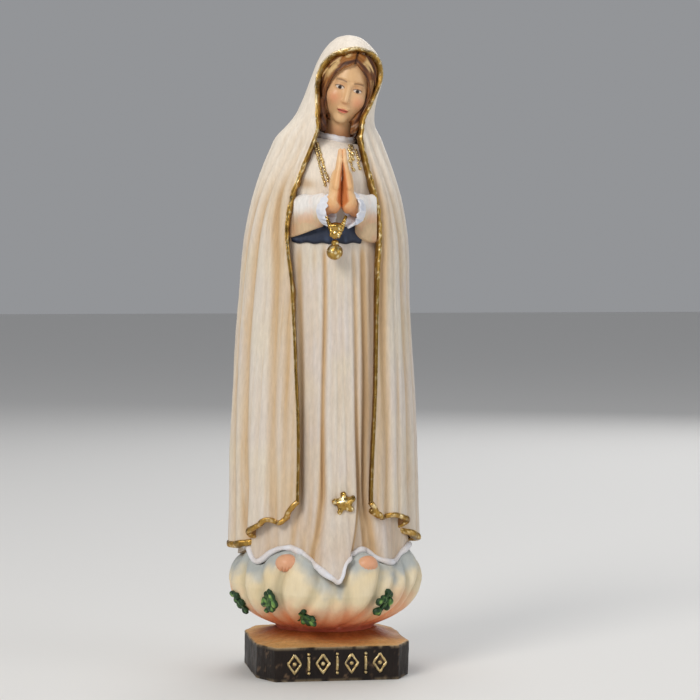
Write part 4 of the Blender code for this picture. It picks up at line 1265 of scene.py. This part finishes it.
def make_hair():
    """Hair parted in the middle that fills the hood and falls in a lock on each side of the neck."""
    locks = [
        [(-1.8, -6.2, 107.6), (-1.7, -6.5, 106.2), (-1.5, -6.6, 104.6), (-1.55, -6.5, 103.3),
         (-1.1, -6.2, 102.4)],
        [(6.8, -5.6, 106.8), (5.8, -6.1, 105.3), (5.0, -6.4, 103.9), (4.85, -6.4, 102.7),
         (4.4, -6.2, 101.9)],
    ]
    widths = [0.8, 0.78, 0.72, 0.78, 0.5]

    def hair_field(p):
        field = to_egg(p, (0, 0.9, 1.3), (6.3, 5.9, 6.7))
        field = merged(field, to_egg(p, (0, 0.2, -2.4), (5.9, 5.0, 5.4)), 1.2)
        world = from_head(p)
        field = merged(field, to_egg(world, (2.4, 0.6, 102.2), (6.8, 4.5, 4.6)), 0.6)
        field = merged(field, in_mantle(world, 0.75), -0.4)
        parting = 0.35 * bell(p[..., 0], 0.15) * ramp(2.5, 4.0, p[..., 2])
        window = face_window(p)
        field = field - hair_waves(p) + parting
        field = cut(field, np.maximum(window, p[..., 1] + 1.2), 0.35)
        field = np.maximum(field, 100.4 - world[..., 2])
        for path in locks:
            route = to_head(path)
            for start, end, first, last in zip(route, route[1:], widths, widths[1:]):
                field = merged(field, to_bar(p, start, end, first, last), 0.2)
        curls = np.sin(5.5 * (p[..., 0] + 0.35 * np.sin(p[..., 2] * 1.6)))
        return field - 0.1 * curls * fall(-6.5, -4.5, p[..., 2])

    points, faces = polygonised(hair_field, (-7.4, -6.6, -12.4), (8.2, 7.6, 8.6), 0.17)
    window = face_window(points)
    high = ramp(-1.0, 2.5, points[:, 2])
    flow = hair_waves(points)
    streak = strands(points)
    patch = ramp(0.32, 0.52, cloudy(points, 1.7, 115))
    paint = coated(
        HAIR_MID,
        (HAIR_DARK, fall(-0.1, 0.05, flow) * 0.6 + ramp(1.7, 2.8, window) * 0.3),
        (HAIR_DARK, fall(0.34, 0.5, streak) * 0.9),
    )
    blond = ramp(0.3, 0.8, window) * fall(1.7, 2.4, window) * high * patch
    paint = coated(
        paint,
        (HAIR_LIGHT, blond * ramp(0.42, 0.6, streak) * 0.95),
        (HAIR_WARM, ramp(0.5, 0.7, streak) * 0.6 * (1 - blond)),
    )
    # a painted grey sheen on the lower locks
    low = fall(-5.5, -3.0, points[:, 2])
    paint = coated(
        paint,
        (HAIR_PAINTED_SHEEN, low * ramp(0.58, 0.72, streak) * 0.75),
        (HAIR_DARK, bell(points[:, 0], 0.22) * ramp(2.5, 4, points[:, 2])),
    )
    add_piece("hair", from_head(points), faces, paint, "hair_paint")


# ---------------------------------------------------------------- arms, hands and what they hold


def palm_hollow(p):
    """How far each palm's face lies from the middle plane: the hands part towards the little fingers."""
    upward = ramp(0.2, 1.8, p[..., 2]) * np.clip(1 - (p[..., 2] - 1.5) / 7.3, 0, 1)
    return 0.9 * upward * ramp(0.3, -1.5, p[..., 1])


def make_hands():
    """Two hands pressed together, with the little fingers in front; they part a little above the wrists."""
    for name, side in (("right_hand", -1), ("left_hand", 1)):
        def hand_field(p):
            """One hand in its own axes: x away from the palm, z up along the fingers."""
            field = to_egg(p, (1.1, 0.3, 3.4), (1.2, 1.75, 4.1))
            field = merged(field, to_egg(p, (1.45, -0.3, 1.5), (1.2, 1.5, 1.7)), 0.6)
            for i, tip_height in enumerate((9.2, 10.3, 10.9, 10.2)):
                y = -1.15 + 0.66 * i
                root, tip = (1.15 - 0.06 * i, y, 4.2), (0.36, y * 0.42 + 0.1, tip_height)
                field = merged(field, to_bar(p, root, tip, 0.76, 0.4), 0.12)
            thumb = to_bar(p, (1.1, 1.5, 2.6), (0.5, 1.9, 7.0), 0.6, 0.38)
            field = merged(field, thumb, 0.25)
            field = merged(field, to_bar(p, (1.5, 0.3, 1.2), (3.0, 1.9, 0.2), 1.45, 1.5), 0.7)
            return np.maximum(field, palm_hollow(p) - 0.03 - p[..., 0])

        points, faces = polygonised(hand_field, (-0.4, -2.8, -1.8), (6.6, 4.2, 11.9), 0.13)
        x, y, z = points.T
        shade = fall(0.1, 0.5, x - palm_hollow(points)) * ramp(1.6, -0.6, y) * fall(7.5, 9.5, z)
        paint = coated(
            HAND,
            (HAND_LIGHT, ramp(0.4, 0.8, cloudy(points, 1.6, 121))),
            (HAND_SHADE, 0.9 * shade),
            (HAND_WARM, 0.5 * fall(-0.4, 1.6, z) + 0.2 * ramp(9.0, 10.8, z)),
        )
        placed = points * np.array([side, 1.0, 1.0]) + np.array([HANDS_X, HANDS_Y, WRIST_HEIGHT])
        placed[:, 0] += (placed[:, 2] - 92) * 0.02
        add_piece(name, placed, faces, paint, "skin_paint")


# Each arm: name, which way it goes, and the sleeve's lower edge as (distance from the hands, height)
ARMS = [
    ("right", -1, [(0.0, 84.6), (3.0, 84.1), (9.2, 82.0), (12.0, 81.6)]),
    ("left", 1, [(0.0, 84.7), (1.2, 84.4), (3.3, 82.2), (4.8, 81.5), (12.0, 81.3)]),
]
# How far forward a sleeve may reach: (distance from the hands, distance in front of the figure's middle)
SLEEVE_REACH = [(2.0, 15.6), (4.0, 14.3), (5.6, 12.7), (7.3, 11.2), (8.6, 10.3), (10.0, 9.7), (13.0, 8.4)]


def make_sleeves():
    for side_name, side, lower_edge in ARMS:
        def sleeve_field(p):
            """x runs from the hands: a forearm that slopes back under the mantle and hangs full."""
            field = to_bar(p, (11.0, -6.6, 85.6), (3.3, -12.2, 87.5), 4.0, 2.8)
            field = merged(field, to_egg(p, (7.0, -9.8, 84.2), (4.6, 3.2, 3.4)), 1.6)
            crease = np.cos(p[..., 0] * 1.7 + (p[..., 2] - 86) * 1.1) * bell(p[..., 0] - 6.6, 2.4)
            field = field + 0.2 * crease
            field = cut(field, (p[..., 1] + curve(SLEEVE_REACH, p[..., 0])) * 0.75, 1.6)
            field = cut(field, p[..., 2] - curve(lower_edge, p[..., 0]), 0.35)
            world = p * np.array([side, 1.0, 1.0]) + np.array([HANDS_X, 0.0, 0.0])
            field = np.maximum(field, np.where(p[..., 0] > 7.8 - 0.6 * side, in_mantle(world, 1.1), -9.0))
            return np.maximum(field, 3.0 - p[..., 0])

        points, faces = polygonised(sleeve_field, (2.4, -17.0, 80.6), (13.5, -3.0, 92.0), 0.18)
        x, z = points[:, 0], points[:, 2]
        # painted light and shade: white along the sleeve's top, peach over its lower half, tan towards the
        # elbow where it goes under the mantle
        low = fall(84.8, 88.2, z + 0.25 * (x - 6) + 1.2 * (cloudy(points, 2.4, 131) - 0.5))
        paint = coated(
            SLEEVE_WHITE,
            (PEACH, low * 0.95),
            (SLEEVE_ROSE, 0.45 * ramp(0.42, 0.66, cloudy(points, 1.8, 133)) * (0.4 + 0.6 * low)),
            (TAN, 0.45 * ramp(6.8, 8.4, x) * low),
        )
        placed = points * np.array([side, 1.0, 1.0]) + np.array([HANDS_X, 0, 0])
        name = f"{side_name}_sleeve"
        add_piece(name, placed, faces, paint, "cream_paint")
        make_cuff(side_name, side)


# The cuff's outline: (how far along, radius), from inside the sleeve, round the rim and back
CUFF = [
    (0.0, 2.2), (0.4, 2.5), (0.9, 2.7), (1.4, 2.85), (1.9, 3.0), (2.3, 3.12), (2.5, 3.08), (2.5, 2.85),
    (2.2, 2.65), (1.6, 2.45), (0.9, 2.25), (0.2, 2.0),
]


def make_cuff(side_name, side):
    """A white frill that opens towards the hand."""
    start = np.array([HANDS_X + side * 3.9, -12.3, WRIST_HEIGHT])
    axis = unit(np.array([-side * 0.8, -0.6, 0.02]))
    across = unit(np.cross(axis, [0.0, 0.0, 1.0]))
    turn = full_turn(180)
    rings = []
    for along, radius in CUFF:
        flare = along / 2.5
        bent = turn + 0.3 * np.sin(3 * turn + side)
        wide = radius * (0.97 + 0.1 * flare * np.sin(9 * bent + side) + 0.05 * flare * np.sin(16 * turn))
        push = along + 0.2 * flare * np.sin(9 * bent + side + 1.3) + 0.2 * flare * np.sin(4 * turn)
        push = push + 0.5 * flare * bell(wrapped(np.degrees(turn) + 80), 40) * (side > 0)
        place = start + axis * push[:, None] + across * (0.66 * wide * np.cos(turn))[:, None]
        place = place + np.array([0, 0, 1.0]) * ((1.0 + 0.04 * flare) * wide * np.sin(turn))[:, None]
        rings.append(place)
    points, faces = capped_loft(np.array(rings))
    paint = coated(WHITE, (CUFF_SHADE, ramp(0.45, 0.8, cloudy(points, 1.2, 143))))
    name = f"{side_name}_cuff"
    add_piece(name, points, faces, paint, "white_paint")


def make_sash():
    angle = np.linspace(-34, 22, 90)
    rows = [
        (81.2, 0.0), (81.3, 0.42), (81.9, 0.62), (82.9, 0.62), (84.0, 0.55), (84.6, 0.4), (84.7, 0.0),
        (83.0, -0.6),
    ]
    rings = []
    for height, out in rows:
        sag = -0.25 * np.cos(np.radians(angle) * 2.4) + 0.12 * np.sin(angle * 0.5)
        place, _ = gown_point(angle, np.full(len(angle), height))
        place = place + unit(place * LEVEL) * out
        place[:, 2] = height + sag
        rings.append(place)
    rings = np.array(rings).transpose(1, 0, 2)
    points, faces = capped_loft(rings)
    paint = coated(
        NAVY,
        (NAVY_LIGHT, ramp(0.5, 0.85, noise(points, 0.9, 151)) * 0.7),
        (NAVY_DARK, fall(81.2, 81.7, points[:, 2]) * 0.8),
    )
    add_piece("sash", points, faces, paint, "blue_paint")


def make_collar():
    lean = unit(np.array(COLLAR_LEAN))
    first = unit(np.cross(lean, [0.0, 1.0, 0.0]))
    second = np.cross(lean, first)
    turns = full_turn(80)
    half_x, half_y = COLLAR_HALF
    path = half_x * np.cos(turns)[:, None] * first + half_y * np.sin(turns)[:, None] * second
    path[:, 2] -= 0.4 * ramp(0.0, 3.5, -path[:, 1])
    path = path + COLLAR_CENTRE
    points, faces = tube_loop(path, 0.68, 12, lump=0.2, seed=161)
    paint = coated(WHITE, (LAVENDER, noise(points, 0.9, 163)))
    add_piece("collar", points, faces, paint, "white_paint")


def chest(x, height, out):
    """Points on the gown's front at these places and heights, moved forward by out."""
    found = between(GOWN, height)
    angle = np.degrees(np.arcsin(np.clip((x - found[..., 0]) / found[..., 2], -0.98, 0.98)))
    place, _ = gown_point(angle, height)
    place[..., 1] -= out
    return place


def make_chains():
    """Each side has two strands of small gilt beads that hang towards the hands; one side has a third."""
    strands = {
        "right_chain": [
            ((-2.75, 99.4), (-2.3, 97.3), (-1.8, 95.3), (-1.0, 92.6)),
            ((-3.3, 98.9), (-2.75, 96.9), (-2.3, 94.6), (-1.6, 91.8)),
        ],
        "left_chain": [
            ((4.0, 99.7), (3.4, 98.4), (3.35, 96.9), (3.8, 94.6)),
            ((4.7, 99.0), (4.9, 97.6), (4.9, 96.2), (5.1, 94.9)),
        ],
    }
    for name, routes in strands.items():
        solids = []
        for number, route in enumerate(routes):
            route = np.array(route)
            walk = np.linspace(0, 3, 60)
            x, z = (np.interp(walk, range(4), route[:, i]) for i in range(2))
            path = even_path(chest(x, z, 0.15), 0.5)
            for i, place in enumerate(path):
                jitter = noise(place[None] * 7.3, 1.0, 171 + number)[0] - 0.5
                place = place + jitter * np.array([0.3, 0, 0.2])
                solids.append(bead(place, 0.3 + 0.14 * jitter, 9, 6))
        if name == "left_chain":
            for i in range(9):
                place = chest(np.array([3.6 + 0.4 * math.sin(i * 2.1)]), np.array([99.6 - 0.4 * i]), 0.2)[0]
                solids.append(bead(place, 0.36 + 0.08 * math.sin(i * 3.3), 9, 6))
        points, faces = joined(solids)
        paint = coated(gold_colour(points, 173), (GOLD_BRIGHT, 0.6))
        add_piece(name, points, faces, paint, "gilding", "bright_gilding")


def make_pendant():
    """A gilt ball under a small bead, and the knot of beads with two short strands that it hangs from."""
    x, y = PENDANT_X, PENDANT_Y

    def ball_field(p):
        field = to_ball(p, (x, y, 79.4), 1.5)
        field = merged(field, to_egg(p, (x + 0.05, y, 81.15), (0.72, 0.72, 0.55)), 0.25)
        return field + 0.08 * (noise(p, 0.7, 181) - 0.5)

    def knot_field(p):
        field = to_egg(p, (x + 0.1, y + 0.1, 82.7), (0.9, 0.9, 0.9))
        field = merged(field, to_egg(p, (x + 0.2, y, 84.1), (1.35, 0.8, 0.8)), 0.3)
        for i in range(7):
            t = i * 0.9
            lump = to_ball(p, (x + 0.1 + 0.85 * math.cos(t), y - 0.3, 82.9 + 0.75 * math.sin(t)), 0.42)
            field = merged(field, lump, 0.14)
        for side in (-1, 1):
            for i in range(5):
                place = (x + 0.25 + side * (0.95 + 0.2 * i), y - 0.1, 83.6 + 0.55 * i)
                lump = to_ball(p, place, 0.5 - 0.04 * i)
                field = merged(field, lump, 0.12)
        return field

    points, faces = polygonised(ball_field, (x - 2.2, y - 2.2, 77.4), (x + 2.2, y + 2.2, 82.2), 0.12)
    add_piece("pendant", points, faces, gold_colour(points, 183), "gilding", "bright_gilding")
    points, faces = polygonised(knot_field, (x - 2.4, y - 1.8, 81.2), (x + 2.6, y + 1.8, 87.4), 0.1)
    paint = gold_colour(points, 185)
    add_piece("pendant_cord", points, faces, paint, "gilding", "bright_gilding")


def make_star():
    place = chest(np.array([STAR_X]), np.array([STAR_HEIGHT]), 0.25)[0]

    def star_field(p):
        moved = p - place
        field = to_egg(moved, (0, 0, 0), (1.4, 0.9, 1.35))
        for i in range(5):
            t = math.radians(98 + 72 * i)
            tip = (1.7 * math.cos(t), 0.0, 1.6 * math.sin(t))
            field = merged(field, to_bar(moved, (0, 0, 0), tip, 0.95, 0.6), 0.14)
        return field + 0.4 * (noise(moved, 0.75, 191) - 0.5)

    points, faces = polygonised(star_field, place - 2.6, place + 2.6, 0.11)
    add_piece("star", points, faces, gold_colour(points, 193), "gilding", "bright_gilding")


# ---------------------------------------------------------------- the figure

MATERIALS = {
    "cream_paint": painted("cream_paint", 0.55, bump=0.3),
    "gown_paint": painted("gown_paint", 0.55, bump=0.3),
    "white_paint": painted("white_paint", 0.42, bump=0.2, mottle=0.06),
    "gilding": gilded("gilding", 0.3),
    "bright_gilding": gilded("bright_gilding", 0.18, lumps=1800.0),
    "skin_paint": painted("skin_paint", 0.38, bump=0.08, mottle=0.04),
    "hair_paint": painted("hair_paint", 0.45, bump=0.3),
    "blue_paint": painted("blue_paint", 0.5, bump=0.4, mottle=0.2),
    "cloud_paint": painted("cloud_paint", 0.4, bump=0.18, mottle=0.06),
    "leaf_paint": painted("leaf_paint", 0.4, bump=0.5, mottle=0.3),
    "stained_wood": painted("stained_wood", 0.5, bump=0.6, fibre=180.0, mottle=0.25, shine=0.2),
    "bare_wood": painted("bare_wood", 0.7, bump=0.4),
}


def main():
    make_camera()
    make_floor()
    make_lights()
    outside, inside, closed_row = make_mantle()
    make_edging(outside, inside, closed_row)
    make_gown()
    make_cloud()
    make_leaves()
    make_feet()
    make_plinth()
    make_ornament()
    make_head()
    make_hair()
    make_hands()
    make_sleeves()
    make_sash()
    make_collar()
    make_chains()
    make_pendant()
    make_star()
    for dowel in ("plinth_dowel", "figure_dowel"):
        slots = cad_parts[dowel].data.materials
        slots.clear()
        slots.append(MATERIALS["bare_wood"])


main()
